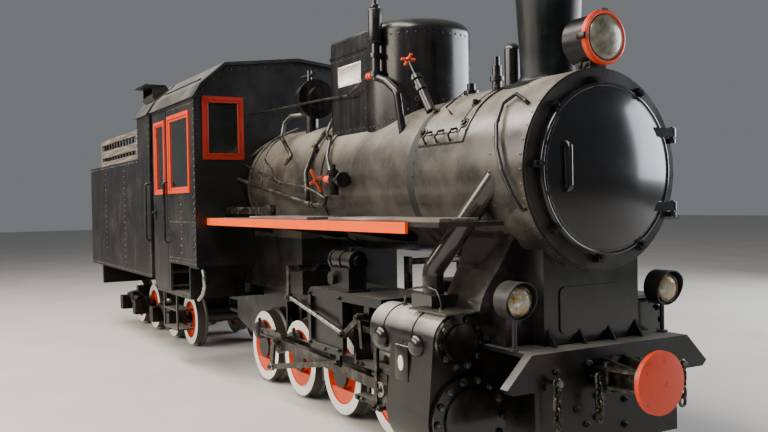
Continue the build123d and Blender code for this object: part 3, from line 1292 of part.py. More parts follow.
def tender_frame():
    """Two channels, end beams, bolsters and the drawbar to the engine."""
    frame = None
    for side in SIDES:
        beam = side_block(side, TENDER_REAR + 60, TENDER_FRONT - 40, 240, 310, TENDER_BEAM_BOTTOM, TENDER_BOTTOM)
        frame = beam if frame is None else frame + beam
    for x0, x1, low in ((TENDER_REAR, TENDER_REAR + 61, 560), (TENDER_FRONT - 41, TENDER_FRONT, 630)):
        frame += block(x0, x1, -900, 900, low, TENDER_BOTTOM)
    for centre in BOGIE_CENTRES:
        frame += block(centre - 120, centre + 120, -310, 310, TENDER_BEAM_BOTTOM, TENDER_BEAM_BOTTOM + 80)
        frame += upright(40, centre, 0, TENDER_BEAM_BOTTOM - 90, TENDER_BEAM_BOTTOM + 10)
    low = DRAWBAR_Z - DRAWBAR_DEPTH / 2
    high = DRAWBAR_Z + DRAWBAR_DEPTH / 2
    frame += block(TENDER_FRONT - 20, DRAWBAR_PIN_X, -55, 55, low, high)
    frame += block(TENDER_FRONT - 41, TENDER_FRONT, -160, 160, low - 30, TENDER_BEAM_BOTTOM)
    frame += upright(75, DRAWBAR_PIN_X, 0, low, high)
    frame -= upright(DRAWBAR_PIN_RADIUS + PIN_CLEARANCE, DRAWBAR_PIN_X, 0, low - 1, high + 1)
    return frame


def tender_tank():
    """Water tank with the coal bunker sunk into its top."""
    tank = block(TENDER_REAR, TENDER_FRONT, -TENDER_HALF_WIDTH, TENDER_HALF_WIDTH, TENDER_BOTTOM, TENDER_TOP)
    tank = fillet(tank.edges().filter_by(Axis.Z).group_by(Axis.X)[0], 90)
    inside = TENDER_HALF_WIDTH - 40
    floor = TENDER_BOTTOM + 40
    bunker = polygon((
        (HOOD_REAR - 40, floor + 30),
        (HOOD_REAR - 40, TENDER_TOP + 1),
        (COAL_BOARD_REAR + 40, TENDER_TOP + 1),
        (COAL_BOARD_REAR + 40, 1700),
        (HOOD_REAR - 500, floor + 30),
    ))
    tank -= side_plate(bunker, 1, -inside, inside)
    tank -= block(HOOD_REAR, TENDER_FRONT + 1, -inside, inside, floor, TENDER_TOP + 1)
    tank -= block(HOOD_REAR - 41, HOOD_REAR + 1, -300, 300, floor + 30, 1500)
    tank += upright(FILLER_RADIUS, FILLER_X, 0, TENDER_TOP - 1, TENDER_TOP + FILLER_HEIGHT)
    for side in SIDES:
        x = TENDER_FRONT - 30
        rail = [(x, side * TENDER_HALF_WIDTH, 1290), (x, side * (TENDER_HALF_WIDTH + 45), 1290),
                (x, side * (TENDER_HALF_WIDTH + 45), 1910), (x, side * TENDER_HALF_WIDTH, 1910)]
        tank += pipe(12, rail, 25)
    for side in SIDES:
        ear = side_block(side, LID_HINGE_X - 16, FILLER_X - FILLER_RADIUS * 0.9, 46, 58,
                         TENDER_TOP - 1, LID_HINGE_Z + 14)
        tank += ear - side_round(LID_PIN_RADIUS + PIN_CLEARANCE, side, 45, 59, LID_HINGE_X, LID_HINGE_Z)
    return tank


def filler_lid():
    """Hinged lid of the water filler."""
    base = LID_HINGE_Z - LID_THICKNESS / 2
    lid = upright(FILLER_RADIUS + 14, FILLER_X, 0, base, base + LID_THICKNESS)
    for side in SIDES:
        lid -= side_block(side, LID_HINGE_X - 20, FILLER_X - FILLER_RADIUS * 0.9 + RUN_CLEARANCE, 40, 64,
                          base - 1, base + LID_THICKNESS + 1)
    lid += block(LID_HINGE_X, FILLER_X - FILLER_RADIUS * 0.8, -40, 40, base, base + LID_THICKNESS)
    lid += side_round(LID_THICKNESS / 2, 1, -40, 40, LID_HINGE_X, LID_HINGE_Z)
    lid += side_round(LID_PIN_RADIUS, 1, -64, 64, LID_HINGE_X, LID_HINGE_Z)
    return lid


def coal_boards():
    """Slatted boards that raise the bunker sides."""
    boards = None
    outer = TENDER_HALF_WIDTH
    inner = TENDER_HALF_WIDTH - 40
    for side in SIDES:
        panel = side_block(side, COAL_BOARD_REAR, HOOD_REAR, inner, outer, TENDER_TOP, COAL_BOARD_TOP)
        panel -= side_block(side, COAL_BOARD_REAR + 60, HOOD_REAR - 60, inner - 1, outer + 1, TENDER_TOP + 60, TENDER_TOP + 110)
        panel -= side_block(side, COAL_BOARD_REAR + 60, HOOD_REAR - 60, inner - 1, outer + 1, TENDER_TOP + 200, TENDER_TOP + 280)
        boards = panel if boards is None else boards + panel
    boards += block(COAL_BOARD_REAR, COAL_BOARD_REAR + 40, -inner, inner, TENDER_TOP, COAL_BOARD_TOP)
    return boards


def roof_flap():
    """Ventilator on the right slope of the hood, its flap propped open."""
    (low_y, low_z), (high_y, high_z) = CAB_OUTLINE[1:3]
    rise = math.atan2(high_z - low_z, low_y - high_y)
    length = TENDER_FRONT - HOOD_REAR - 100
    middle = Pos((HOOD_REAR + TENDER_FRONT) / 2, -(low_y + high_y) / 2, (low_z + high_z) / 2 + ROOF_THICKNESS)
    flap = middle * Rot(math.degrees(rise), 0, 0) * Pos(0, 0, 20) * Box(length, 200, 80)
    hinge_y = -(low_y + high_y) / 2 + 100 * math.cos(rise) - 60 * math.sin(rise)
    hinge_z = middle.position.Z + 100 * math.sin(rise) + 60 * math.cos(rise)
    x0, x1 = HOOD_REAR + 40, TENDER_FRONT - 40
    flap += block(x0, x1, hinge_y - 230, hinge_y + 5, hinge_z - 12, hinge_z)
    flap += block(x0 + 20, x0 + 32, hinge_y - 140, hinge_y - 20, hinge_z - 150, hinge_z - 5)
    flap += block(x1 - 32, x1 - 20, hinge_y - 140, hinge_y - 20, hinge_z - 150, hinge_z - 5)
    return flap


def tender_hood():
    """Rear half of the cab, carried by the tender."""
    wall_in = CAB_HALF_WIDTH - CAB_WALL
    roof = [(y, z + ROOF_THICKNESS) for y, z in roof_points(0)][1:-1]
    left_edge = CAB_HALF_WIDTH + ROOF_THICKNESS
    outside = [(-CAB_HALF_WIDTH, TENDER_TOP), (-CAB_HALF_WIDTH, EAVE_Z), (-left_edge, EAVE_Z)] + roof
    outside += [(left_edge, EAVE_Z), (CAB_HALF_WIDTH, EAVE_Z), (CAB_HALF_WIDTH, TENDER_TOP)]
    narrow = wall_in / CAB_HALF_WIDTH
    inside = [(y * narrow, z) for y, z in roof_points(CAB_WALL)]
    inside += [(wall_in, TENDER_TOP - 1), (-wall_in, TENDER_TOP - 1)]
    hood = cross_plate(polygon(outside), HOOD_REAR, TENDER_FRONT) + roof_flap()
    return hood - cross_plate(polygon(inside), HOOD_REAR + CAB_WALL, TENDER_FRONT + 1)


def tender_coupler():
    """Central buffer at the rear, like the one in front."""
    return Pos(TENDER_REAR + BEAM_FRONT, 0, 0) * Rot(0, 0, 180) * front_coupler()


def bogie_axles(centre):
    return (centre + BOGIE_WHEELBASE / 2, centre - BOGIE_WHEELBASE / 2)


def bogie(centre):
    """Outside-framed bogie: side plates, axleboxes, bolster and pivot."""
    frame = None
    for side in SIDES:
        outline = polygon((
            (centre - 520, 330),
            (centre - 520, 430),
            (centre - 200, 480),
            (centre + 200, 480),
            (centre + 520, 430),
            (centre + 520, 330),
            (centre + 200, 250),
            (centre - 200, 250),
        ))
        plate = side_plate(outline, side, BOGIE_FRAME_IN, BOGIE_FRAME_OUT)
        for axle_x in bogie_axles(centre):
            plate += side_block(side, axle_x - 80, axle_x + 80, BOGIE_FRAME_IN - 30, 740, 210, 400)
            bore = 45 + PIN_CLEARANCE
            plate -= side_round(bore, side, BOGIE_FRAME_IN - 31, 700, axle_x, TENDER_TREAD_RADIUS)
        frame = plate if frame is None else frame + plate
    frame += block(centre - 55, centre + 55, -BOGIE_FRAME_OUT, BOGIE_FRAME_OUT, 400, 560)
    for side in SIDES:
        for number in range(4):
            half = 330 - number * 70
            frame += side_block(side, centre - half, centre + half, BOGIE_FRAME_OUT - 1, BOGIE_FRAME_OUT + 70,
                                440 - (number + 1) * 22, 440 - number * 22 + 0.5)
        frame += side_block(side, centre - 42, centre + 42, BOGIE_FRAME_OUT - 1, BOGIE_FRAME_OUT + 78, 330, 470)
    frame += upright(150, centre, 0, 550, TENDER_BEAM_BOTTOM - RUN_CLEARANCE)
    frame -= upright(40 + PIN_CLEARANCE, centre, 0, 500, TENDER_BEAM_BOTTOM)
    return frame


def tender_wheelset(axle_x):
    solid = Rot(90, 0, 0) * Cylinder(55, 2 * (HUB_BACK + 20))
    solid += Rot(90, 0, 0) * Cylinder(45, 2 * 690)
    for side in SIDES:
        solid += wheel_disc(side, TENDER_TREAD_RADIUS, 90, CRANK_FACE - 10)
    return Pos(axle_x, 0, TENDER_TREAD_RADIUS) * solid


def make_tender():
    place("tender_frame", tender_frame())
    place("tender_tank", tender_tank())
    place("filler_lid", filler_lid())
    place("coal_boards", coal_boards())
    place("tender_hood", tender_hood())
    place("tender_coupler", tender_coupler())
    number = 1
    for name, centre in zip(("bogie_front", "bogie_rear"), BOGIE_CENTRES):
        place(name, bogie(centre))
        for axle_x in bogie_axles(centre):
            place(f"tender_wheelset_{number}", tender_wheelset(axle_x))
            number += 1


os.makedirs("parts", exist_ok=True)
make_wheels_and_rods()
make_frame()
make_front()
make_boiler()
make_engine_works()
place("running_boards", group(running_board(-1), running_board(1)))
place("board_edges", group(board_edge(-1), board_edge(1)))
make_cab()
make_fittings()
make_tender()
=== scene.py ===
import json
import math

import bmesh
import bpy
from mathutils import Matrix, Vector


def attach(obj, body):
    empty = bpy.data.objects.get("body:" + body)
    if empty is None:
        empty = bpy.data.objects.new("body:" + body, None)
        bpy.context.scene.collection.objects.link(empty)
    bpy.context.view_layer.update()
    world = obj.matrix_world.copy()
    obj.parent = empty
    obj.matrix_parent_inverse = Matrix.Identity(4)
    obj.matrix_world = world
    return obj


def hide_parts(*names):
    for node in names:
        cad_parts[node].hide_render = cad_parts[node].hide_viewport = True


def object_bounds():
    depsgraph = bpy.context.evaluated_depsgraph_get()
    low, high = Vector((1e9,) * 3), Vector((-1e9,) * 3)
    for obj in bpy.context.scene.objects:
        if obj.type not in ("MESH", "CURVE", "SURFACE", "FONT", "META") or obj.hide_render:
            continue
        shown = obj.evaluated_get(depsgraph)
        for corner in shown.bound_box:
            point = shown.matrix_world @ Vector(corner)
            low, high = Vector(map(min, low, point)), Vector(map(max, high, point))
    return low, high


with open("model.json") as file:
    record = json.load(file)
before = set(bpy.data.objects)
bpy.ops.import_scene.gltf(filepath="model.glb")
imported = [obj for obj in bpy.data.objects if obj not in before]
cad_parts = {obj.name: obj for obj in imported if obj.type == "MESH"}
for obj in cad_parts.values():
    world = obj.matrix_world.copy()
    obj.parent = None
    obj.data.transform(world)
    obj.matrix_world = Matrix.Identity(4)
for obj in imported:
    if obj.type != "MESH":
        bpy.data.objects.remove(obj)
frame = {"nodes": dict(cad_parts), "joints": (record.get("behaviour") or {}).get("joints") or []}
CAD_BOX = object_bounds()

bl_info = {
    "name": "Narrow-gauge steam locomotive",
    "version": (1, 0, 0),
    "blender": (4, 5, 0),
    "location": "View3D > Sidebar > Locomotive",
    "description": "Finishes and small parts of a steam locomotive with its tender",
    "category": "Object",
}

# Places on the machine are in metres: x from the leading axle, y from the centre line, z from the rail tops
JOINT = {joint["name"]: Vector(joint["pos_m"]) for joint in frame["joints"]}
LEADING_AXLE_X = JOINT["axle_1_turn"].x
RAIL_TOP = 0.025
FAR = 9.0                       # past the machine on every side
SIDES = {-1: "right", 1: "left"}
BOILER_Z = 1.818
SMOKEBOX_RADIUS = 0.56
BARREL_RADIUS = 0.535
CAB_FRONT = -2.6
CAB_HALF_WIDTH = 1.05           # the tender's tank is as wide
TENDER_REAR = -7.685
CASING_HALF_WIDTH = 0.386
DOME_X, DOME_RADIUS = -0.34, 0.4
CYLINDER_Y, CYLINDER_Z = 0.66, 0.42
CHEST_Y, CHEST_Z = 0.72, 0.86
HEADLAMP_Z = 2.552
COUPLER_Z = 0.684
WHEEL_FACE = 0.465
WHISTLE_X, WHISTLE_Y = -0.215, -0.432
# from each axle to its crankpins in x and z: the right cranks point up, the left ones forward
CRANK = {-1: (0.0, 0.15), 1: (0.15, 0.0)}
# the photograph's camera: its place, and its turn in radians from looking straight back along the machine
CAMERA_PLACE = (5.100, -3.412, 1.654)
CAMERA_YAW, CAMERA_PITCH, CAMERA_ROLL = 0.517246, -0.0158064, -0.0185560


def at(x, y, z):
    """Point of the shared frame from a place on the machine."""
    return Vector((LEADING_AXLE_X + x, y, RAIL_TOP + z))


def linear(hex_colour):
    """sRGB hex colour as linear RGBA."""
    parts = [int(hex_colour[i:i + 2], 16) / 255 for i in (1, 3, 5)]
    return tuple(c / 12.92 if c <= 0.04045 else ((c + 0.055) / 1.055) ** 2.4 for c in parts) + (1.0,)


def add(tree, kind, inputs=None, stops=None, **settings):
    """Add one node, with its settings, its input values or links, and colour stops."""
    node = tree.nodes.new("ShaderNode" + kind)
    for name, value in settings.items():
        setattr(node, name, value)
    for name, value in (inputs or {}).items():
        if isinstance(value, bpy.types.NodeSocket):
            tree.links.new(value, node.inputs[name])
        else:
            node.inputs[name].default_value = value
    if stops:
        elements = node.color_ramp.elements
        while len(elements) > 1:
            elements.remove(elements[-1])
        elements[0].position, elements[0].color = stops[0][0], linear(stops[0][1])
        for place, colour in stops[1:]:
            elements.new(place).color = linear(colour)
    return node


def new_finish(name):
    """Empty material, its node tree, and the coordinates that its patterns are laid on."""
    finish = bpy.data.materials.new(name)
    finish.use_nodes = True
    finish.node_tree.nodes.clear()
    return finish, finish.node_tree, add(finish.node_tree, "TexCoord").outputs


def shaded(finish, inputs):
    """Gives a material its shader, with these values and links."""
    shader = add(finish.node_tree, "BsdfPrincipled", inputs)
    add(finish.node_tree, "OutputMaterial", {"Surface": shader.outputs["BSDF"]})
    return finish


def product(tree, *values):
    """Product of several masks."""
    result = values[0]
    for value in values[1:]:
        result = add(tree, "Math", {0: result, 1: value}, operation="MULTIPLY").outputs["Value"]
    return result


def between(tree, value, low, high):
    """Mask that is one where the value lies between two limits."""
    above = add(tree, "Math", {0: value, 1: low}, operation="GREATER_THAN").outputs["Value"]
    below = add(tree, "Math", {0: value, 1: high}, operation="LESS_THAN").outputs["Value"]
    return product(tree, above, below)


def layered(tree, colour, *coats):
    """Colour with coats laid over it in turn, each a mask and its colour."""
    for mask, coat in coats:
        colour = add(tree, "Mix", {"Factor": mask, "A": colour, "B": coat}, data_type="RGBA").outputs[2]
    return colour


def grained(tree, pattern, strength, depth):
    """Noise pattern, and the relief that it gives the surface, its depth in metres."""
    height = add(tree, "TexNoise", pattern).outputs["Fac"]
    relief = add(tree, "Bump", {"Height": height, "Strength": strength, "Distance": depth})
    return height, relief.outputs["Normal"]


def clouded(tree, place, stops, patch_mm, gloss, detail, roughness):
    """Cloudy patches of a size in millimetres, with the colour and the roughness that go with them."""
    cloud = add(tree, "TexNoise", {"Vector": place, "Scale": 1000 / patch_mm, "Detail": detail,
                                   "Roughness": roughness}).outputs["Fac"]
    colour = add(tree, "ValToRGB", {"Fac": cloud}, stops=stops).outputs["Color"]
    rough = add(tree, "MapRange", {"Value": cloud, "From Min": 0.3, "From Max": 0.7,
                                   "To Min": gloss[0], "To Max": gloss[1]}).outputs["Result"]
    return cloud, colour, rough


def round_zone(height, radii, along):
    """Zone of a round face that looks along the machine: its axis is at this height, with limits of radius and x."""
    def mask(tree, place):
        split = add(tree, "SeparateXYZ", {"Vector": place}).outputs
        rise = add(tree, "Math", {0: split["Z"], 1: RAIL_TOP + height}, operation="SUBTRACT").outputs["Value"]
        flat = add(tree, "CombineXYZ", {"Y": split["Y"], "Z": rise}).outputs["Vector"]
        radius = add(tree, "VectorMath", {0: flat}, operation="LENGTH").outputs["Value"]
        ends = [LEADING_AXLE_X + x for x in along]
        return product(tree, between(tree, radius, *radii), between(tree, split["X"], *ends))
    return mask


def box_zone(**limits):
    """Zone between two limits in each axis that is named, x, y or z."""
    def mask(tree, place):
        split = add(tree, "SeparateXYZ", {"Vector": place}).outputs
        start = {"x": LEADING_AXLE_X, "y": 0.0, "z": RAIL_TOP}
        return product(tree, *[between(tree, split[axis.upper()], start[axis] + low, start[axis] + high)
                               for axis, (low, high) in limits.items()])
    return mask


def enamel(name, stops, patch_mm, gloss, bump=0.12, streaks=0.0, dust_and_top_light=None, coat=0.0, shine=0.5, zones=()):
    """Brushed enamel on sheet steel: it keeps a soft sheen, is cloudy where hands and rain have dulled it,
    has faint brush grain, and is pale on what faces up, dusty there and lightened by a painted top light."""
    finish, tree, place = new_finish(name)
    cloud, colour, rough = clouded(tree, place["Object"], stops, patch_mm, gloss, 7.0, 0.62)
    if streaks:
        # rain runs, about 50 mm wide and 650 mm long
        drawn = add(tree, "Mapping", {"Vector": place["Object"], "Scale": (9.0, 9.0, 0.7)}).outputs["Vector"]
        run = add(tree, "TexNoise", {"Vector": drawn, "Scale": 2.2, "Detail": 4.0}).outputs["Fac"]
        share = add(tree, "MapRange", {"Value": run, "From Min": 0.5, "From Max": 0.8, "To Max": streaks})
        colour = layered(tree, colour, (share.outputs["Result"], linear("#6e675e")))
    # what faces up is lightened: settled dust, and with it a painted top light, as if lit from above
    if dust_and_top_light:
        tint, amount = dust_and_top_light
        up = add(tree, "SeparateXYZ", {"Vector": place["Normal"]}).outputs["Z"]
        facing = add(tree, "MapRange", {"Value": up, "From Min": 0.25, "From Max": 1.0, "To Max": amount})
        colour = layered(tree, colour, (product(tree, facing.outputs["Result"], cloud), linear(tint)))
    for zone, tones, *dull in zones:
        mask = zone(tree, place["Object"])
        colour = layered(tree, colour, (mask, add(tree, "ValToRGB", {"Fac": cloud}, stops=tones).outputs["Color"]))
        if dull:
            rough = add(tree, "MapRange", {"Value": mask, "To Min": rough, "To Max": dull[0]}).outputs["Result"]
    # brush grain, one mark every 2.5 mm
    _, relief = grained(tree, {"Vector": place["Object"], "Scale": 400.0, "Detail": 3.0}, bump, 0.0006)
    inputs = {"Base Color": colour, "Roughness": rough, "Normal": relief, "Specular IOR Level": shine}
    if coat:
        inputs.update({"Coat Weight": coat, "Coat Roughness": 0.08})
    return shaded(finish, inputs)


def bare_steel(name, stops, patch_mm, gloss, bump=0.2, zones=()):
    """Machined or cast steel wiped with oil: bright where it is rubbed, brown-black where old oil has dried,
    with fine scratches, and painted in its zones."""
    finish, tree, place = new_finish(name)
    oil, colour, rough = clouded(tree, place["Object"], stops, patch_mm, gloss, 8.0, 0.7)
    metal = 0.85
    for zone, tones in zones:
        mask = zone(tree, place["Object"])
        colour = layered(tree, colour, (mask, add(tree, "ValToRGB", {"Fac": oil}, stops=tones).outputs["Color"]))
        metal = add(tree, "MapRange", {"Value": mask, "To Min": metal, "To Max": 0.0}).outputs["Result"]
    # scratches, one every 2.4 mm
    _, relief = grained(tree, {"Vector": place["Object"], "Scale": 420.0, "Detail": 2.0}, bump, 0.0004)
    return shaded(finish, {"Base Color": colour, "Roughness": rough, "Normal": relief, "Metallic": metal})


def wheel_enamel(name, centre, rim, tread, red, white):
    """Painted wheel: white band on the tyre face, orange-red centre, dark crank boss and a bare tread,
    each by its distance from the axle and across the machine."""
    finish, tree, place = new_finish(name)
    place = place["Object"]
    moved = add(tree, "Mapping", {"Vector": place, "Location": (-centre.x, 0.0, -centre.z)}).outputs["Vector"]
    split = add(tree, "SeparateXYZ", {"Vector": moved}).outputs
    flat = add(tree, "CombineXYZ", {"X": split["X"], "Z": split["Z"]}).outputs["Vector"]
    radius = add(tree, "VectorMath", {0: flat}, operation="LENGTH").outputs["Value"]
    across = add(tree, "Math", {0: split["Y"]}, operation="ABSOLUTE").outputs["Value"]
    # soot and brake dust, in patches of 70 mm
    soil = add(tree, "TexNoise", {"Vector": place, "Scale": 14.0, "Detail": 8.0, "Roughness": 0.65}).outputs["Fac"]
    centres = add(tree, "ValToRGB", {"Fac": soil}, stops=[(0.3, "#7d2410"), (0.44, red), (0.7, red)])
    bands = add(tree, "ValToRGB", {"Fac": soil}, stops=[(0.26, "#9a978f"), (0.38, white), (0.8, white)])
    boss = product(tree, between(tree, radius, -1.0, rim - 0.004), between(tree, across, WHEEL_FACE - 0.008, FAR))
    outer = product(tree, between(tree, radius, tread - 0.006, FAR), between(tree, across, -1.0, WHEEL_FACE - 0.002))
    inner = between(tree, across, -1.0, WHEEL_FACE - 0.1)
    bare = add(tree, "Math", {0: outer, 1: inner}, operation="MAXIMUM").outputs["Value"]
    colour = layered(tree, centres.outputs["Color"], (between(tree, radius, rim, FAR), bands.outputs["Color"]),
                     (boss, linear("#16130f")), (bare, linear("#3b3630")))
    rough = add(tree, "MapRange", {"Value": soil, "To Min": 0.28, "To Max": 0.6}).outputs["Result"]
    _, relief = grained(tree, {"Vector": place, "Scale": 300.0, "Detail": 3.0}, 0.15, 0.0006)
    return shaded(finish, {"Base Color": colour, "Roughness": rough, "Normal": relief})


def window_glass(name):
    """Old float glass: clear with a faint green, with a dusty film in patches of 200 mm."""
    finish, tree, place = new_finish(name)
    film = add(tree, "TexNoise", {"Vector": place["Object"], "Scale": 5.0, "Detail": 6.0}).outputs["Fac"]
    rough = add(tree, "MapRange", {"Value": film, "To Min": 0.02, "To Max": 0.16}).outputs["Result"]
    return shaded(finish, {"Base Color": linear("#59635e"), "Roughness": rough,
                           "Transmission Weight": 0.92, "IOR": 1.52})


def old_planks(name):
    """Painted softwood boards, worn grey-brown, with grain along the machine, 16 to 24 mm wide."""
    finish, tree, place = new_finish(name)
    along = add(tree, "Mapping", {"Vector": place["Object"], "Scale": (1.2, 40.0, 26.0)}).outputs["Vector"]
    pattern = {"Vector": along, "Scale": 1.6, "Detail": 8.0, "Roughness": 0.7}
    grain, relief = grained(tree, pattern, 0.4, 0.002)
    colour = add(tree, "ValToRGB", {"Fac": grain}, stops=[(0.3, "#2a2522"), (0.5, "#5a5049"), (0.68, "#8f857b")])
    return shaded(finish, {"Base Color": colour.outputs["Color"], "Roughness": 0.72, "Normal": relief})


def lamp_glass(name, stops, ribs_mm):
    """Pressed glass over a silvered bowl: bright, ribbed, with a warm or grey cast."""
    finish, tree, place = new_finish(name)
    pattern = {"Vector": place["Object"], "Scale": 1000 / ribs_mm, "Detail": 3.0}
    ribs, relief = grained(tree, pattern, 0.5, 0.004)
    colour = add(tree, "ValToRGB", {"Fac": ribs}, stops=stops).outputs["Color"]
    return shaded(finish, {"Base Color": colour, "Normal": relief, "Metallic": 0.25, "Roughness": 0.26,
                           "Coat Weight": 0.5})


def clear():
    """Object mode with nothing selected, as every step of modelling begins."""
    if bpy.context.object and bpy.context.object.mode != "OBJECT":
        bpy.ops.object.mode_set(mode="OBJECT")
    bpy.ops.object.select_all(action="DESELECT")


def take(piece):
    """Only this piece selected and active."""
    clear()
    piece.select_set(True)
    bpy.context.view_layer.objects.active = piece


def settled():
    """The new object, with its place and size in its mesh."""
    bpy.ops.object.transform_apply(location=True, rotation=True, scale=True)
    return bpy.context.object


def shape(piece, chosen, *steps):
    """In edit mode, picks the faces for which chosen(middle, normal) holds and runs the steps."""
    take(piece)
    bpy.ops.object.mode_set(mode="EDIT")
    bpy.ops.mesh.select_mode(type="FACE")
    bpy.ops.mesh.select_all(action="DESELECT")
    mesh = bmesh.from_edit_mesh(piece.data)
    for face in mesh.faces:
        face.select_set(chosen(face.calc_center_median(), face.normal))
    bmesh.update_edit_mesh(piece.data)
    for step, options in steps:
        step(**options)
    bpy.ops.object.mode_set(mode="OBJECT")


def raised(x=0.0, y=0.0, z=0.0):
    """Step that extrudes the picked faces by a distance."""
    return bpy.ops.mesh.extrude_region_move, {"TRANSFORM_OT_translate": {"value": (x, y, z)}}


def moved_by(x=0.0, y=0.0, z=0.0):
    """Step that moves the picked faces by a distance."""
    return bpy.ops.transform.translate, {"value": (x, y, z)}


def inset(thickness):
    """Step that insets the picked faces."""
    return bpy.ops.mesh.inset, {"thickness": thickness}


def smooth(degrees):
    """Smooth shading up to an angle."""
    bpy.ops.object.shade_smooth_by_angle(angle=math.radians(degrees))


def softened(piece, width, segments=2):
    """Applied bevel on the sharp edges, then smooth shading up to the same angle."""
    sharp = 35
    take(piece)
    bevel = piece.modifiers.new("edges", "BEVEL")
    bevel.width = width
    bevel.segments = segments
    bevel.limit_method = "ANGLE"
    bevel.angle_limit = math.radians(sharp)
    bpy.ops.object.modifier_apply(modifier=bevel.name)
    smooth(sharp)
    return piece


def settle(piece, name, finish, body="engine"):
    """Gives a piece its name and finish, its place in its mesh, and the body it rides on."""
    take(piece)
    settled()
    piece.name = name
    piece.data.name = name
    piece.data.materials.clear()
    piece.data.materials.append(FINISH[finish])
    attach(piece, body)


def joined(pieces):
    """Several meshes as one object."""
    clear()
    for piece in pieces:
        piece.select_set(True)
    bpy.context.view_layer.objects.active = pieces[0]
    if len(pieces) > 1:
        bpy.ops.object.join()
    return bpy.context.view_layer.objects.active


def strewn(master, places):
    """Copies of a small part at every place, its top turned to the direction there."""
    copies = []
    for point, direction in places:
        turn = Vector((0, 0, 1)).rotation_difference(Vector(direction)).to_matrix().to_4x4()
        copy = master.copy()
        copy.data = master.data.copy()
        copy.data.transform(Matrix.Translation(point) @ turn)
        bpy.context.collection.objects.link(copy)
        copies.append(copy)
    return joined(copies)


def discard(*masters):
    """Removes parts that were only there to be copied."""
    for master in masters:
        bpy.data.objects.remove(master, do_unlink=True)


def block(low, high):
    """Box between two corners, ready to be shaped."""
    clear()
    low, high = Vector(low), Vector(high)
    bpy.ops.mesh.primitive_cube_add(size=1.0, location=(low + high) / 2)
    bpy.context.object.scale = high - low
    return settled()


def flank_block(side, x, y, z):
    """Box on one side of the machine, by its limits in x, in y from the centre line, and in z."""
    return block(at(x[0], side * y[0], z[0]), at(x[1], side * y[1], z[1]))


def disc(radius, depth, centre, direction, vertices=32):
    """Round slab whose base is at the centre and whose top looks along the direction."""
    clear()
    direction = Vector(direction).normalized()
    bpy.ops.mesh.primitive_cylinder_add(vertices=vertices, radius=radius, depth=depth,
                                        location=Vector(centre) + direction * depth / 2,
                                        rotation=direction.to_track_quat("Z", "Y").to_euler())
    return settled()


def button(radius, depth, centre, direction, vertices, rim, rise, edge, segments=2):
    """Round slab whose top has a rim and, inside it, a face raised or sunk."""
    direction = Vector(direction)
    slab = disc(radius, depth, centre, direction, vertices)
    shape(slab, lambda middle, normal: normal.dot(direction) > 0.9, inset(rim), raised(*(direction * rise)))
    return softened(slab, edge, segments)


def lens(radius, depth, centre, vertices, rings):
    """Domed glass that looks forward, each ring an inset and a rise."""
    glass = disc(radius, depth, centre, (1, 0, 0), vertices)
    for thickness, rise in rings:
        shape(glass, lambda middle, normal: normal.x > 0.98 and (middle - centre).yz.length < 0.02,
              inset(thickness), moved_by(x=rise))
    bpy.ops.object.shade_smooth()
    return glass


def bar(points, radius, sides=2, cyclic=False):
    """Round bar bent through the points."""
    curve = bpy.data.curves.new("bar", "CURVE")
    curve.dimensions = "3D"
    spline = curve.splines.new("POLY")
    spline.points.add(len(points) - 1)
    for target, point in zip(spline.points, points):
        target.co = (*point, 1.0)
    spline.use_cyclic_u = cyclic
    curve.bevel_depth = radius
    curve.bevel_resolution = sides
    curve.use_fill_caps = not cyclic
    bent = bpy.data.objects.new("bar", curve)
    bpy.context.collection.objects.link(bent)
    take(bent)
    bpy.ops.object.convert(target="MESH")
    bpy.ops.object.shade_smooth()
    return bpy.context.object


def rivet(radius, height):
    """Domed rivet head, standing on the origin."""
    clear()
    bpy.ops.mesh.primitive_cylinder_add(vertices=8, radius=radius, depth=height * 0.5, location=(0, 0, height * 0.25))
    head = settled()
    shape(head, lambda middle, normal: normal.z > 0.9, inset(radius * 0.4), moved_by(z=height * 0.35))
    smooth(50)
    return head


def hex_nut(width, height):
    """Hexagon nut on a washer, with the end of its stud, standing on the origin."""
    washer_top = 0.002
    clear()
    bpy.ops.mesh.primitive_cylinder_add(vertices=6, radius=width / 2, depth=height,
                                        location=(0, 0, height / 2 + washer_top))
    nut = settled()
    shape(nut, lambda middle, normal: normal.z > 0.9, inset(width * 0.1), moved_by(z=height * 0.15),
          inset(width * 0.12), raised(z=height * 0.45))
    return joined([nut, disc(width * 0.66, 0.003, (0, 0, 0), (0, 0, 1), 14)])


def row(start, end, pitch):
    """Points evenly along a line in a plane, both ends included."""
    start, end = Vector(start), Vector(end)
    count = max(1, round((end - start).length / pitch))
    return [start.lerp(end, i / count) for i in range(count + 1)]


def circle(x, y, z, radius, count, first=0.0, last=360.0):
    """Points round a circle that faces along the machine, or along an arc of it, by angles in degrees."""
    steps = count if abs(last - first) >= 360 else count - 1
    turns = [math.radians(first + (last - first) * i / steps) for i in range(count)]
    return [at(x, y + radius * math.cos(turn), z + radius * math.sin(turn)) for turn in turns]


def facing(points, direction):
    """Places that all look one way."""
    return [(point, direction) for point in points]


def on_flank(side, y, spots):
    """Places on one side of the machine that look outwards, by their x and z."""
    return facing([at(x, side * y, z) for x, z in spots], (0, side, 0))


def flank_rows(y, lines, pitch):
    """Rows of places on both sides of the machine, by the x and z of their ends."""
    return [place for side in SIDES for start, end in lines for place in on_flank(side, y, row(start, end, pitch))]


def on_smokebox(x, angle, clearance):
    """Point on the right of the smokebox, by its angle above the horizontal."""
    turn = math.radians(angle)
    radius = SMOKEBOX_RADIUS + clearance
    return at(x, -radius * math.cos(turn), BOILER_Z + radius * math.sin(turn))


def sweep(start, end, steps, clearance):
    """Points on the right of the smokebox from one x and angle to another."""
    start, end = Vector(start), Vector(end)
    return [on_smokebox(*start.lerp(end, i / steps), clearance) for i in range(steps + 1)]


def on_jacket(x, z, radius):
    """Point on the right of the boiler, by its height and its distance from the boiler's axis."""
    return at(x, -math.sqrt(radius ** 2 - (z - BOILER_Z) ** 2), z)


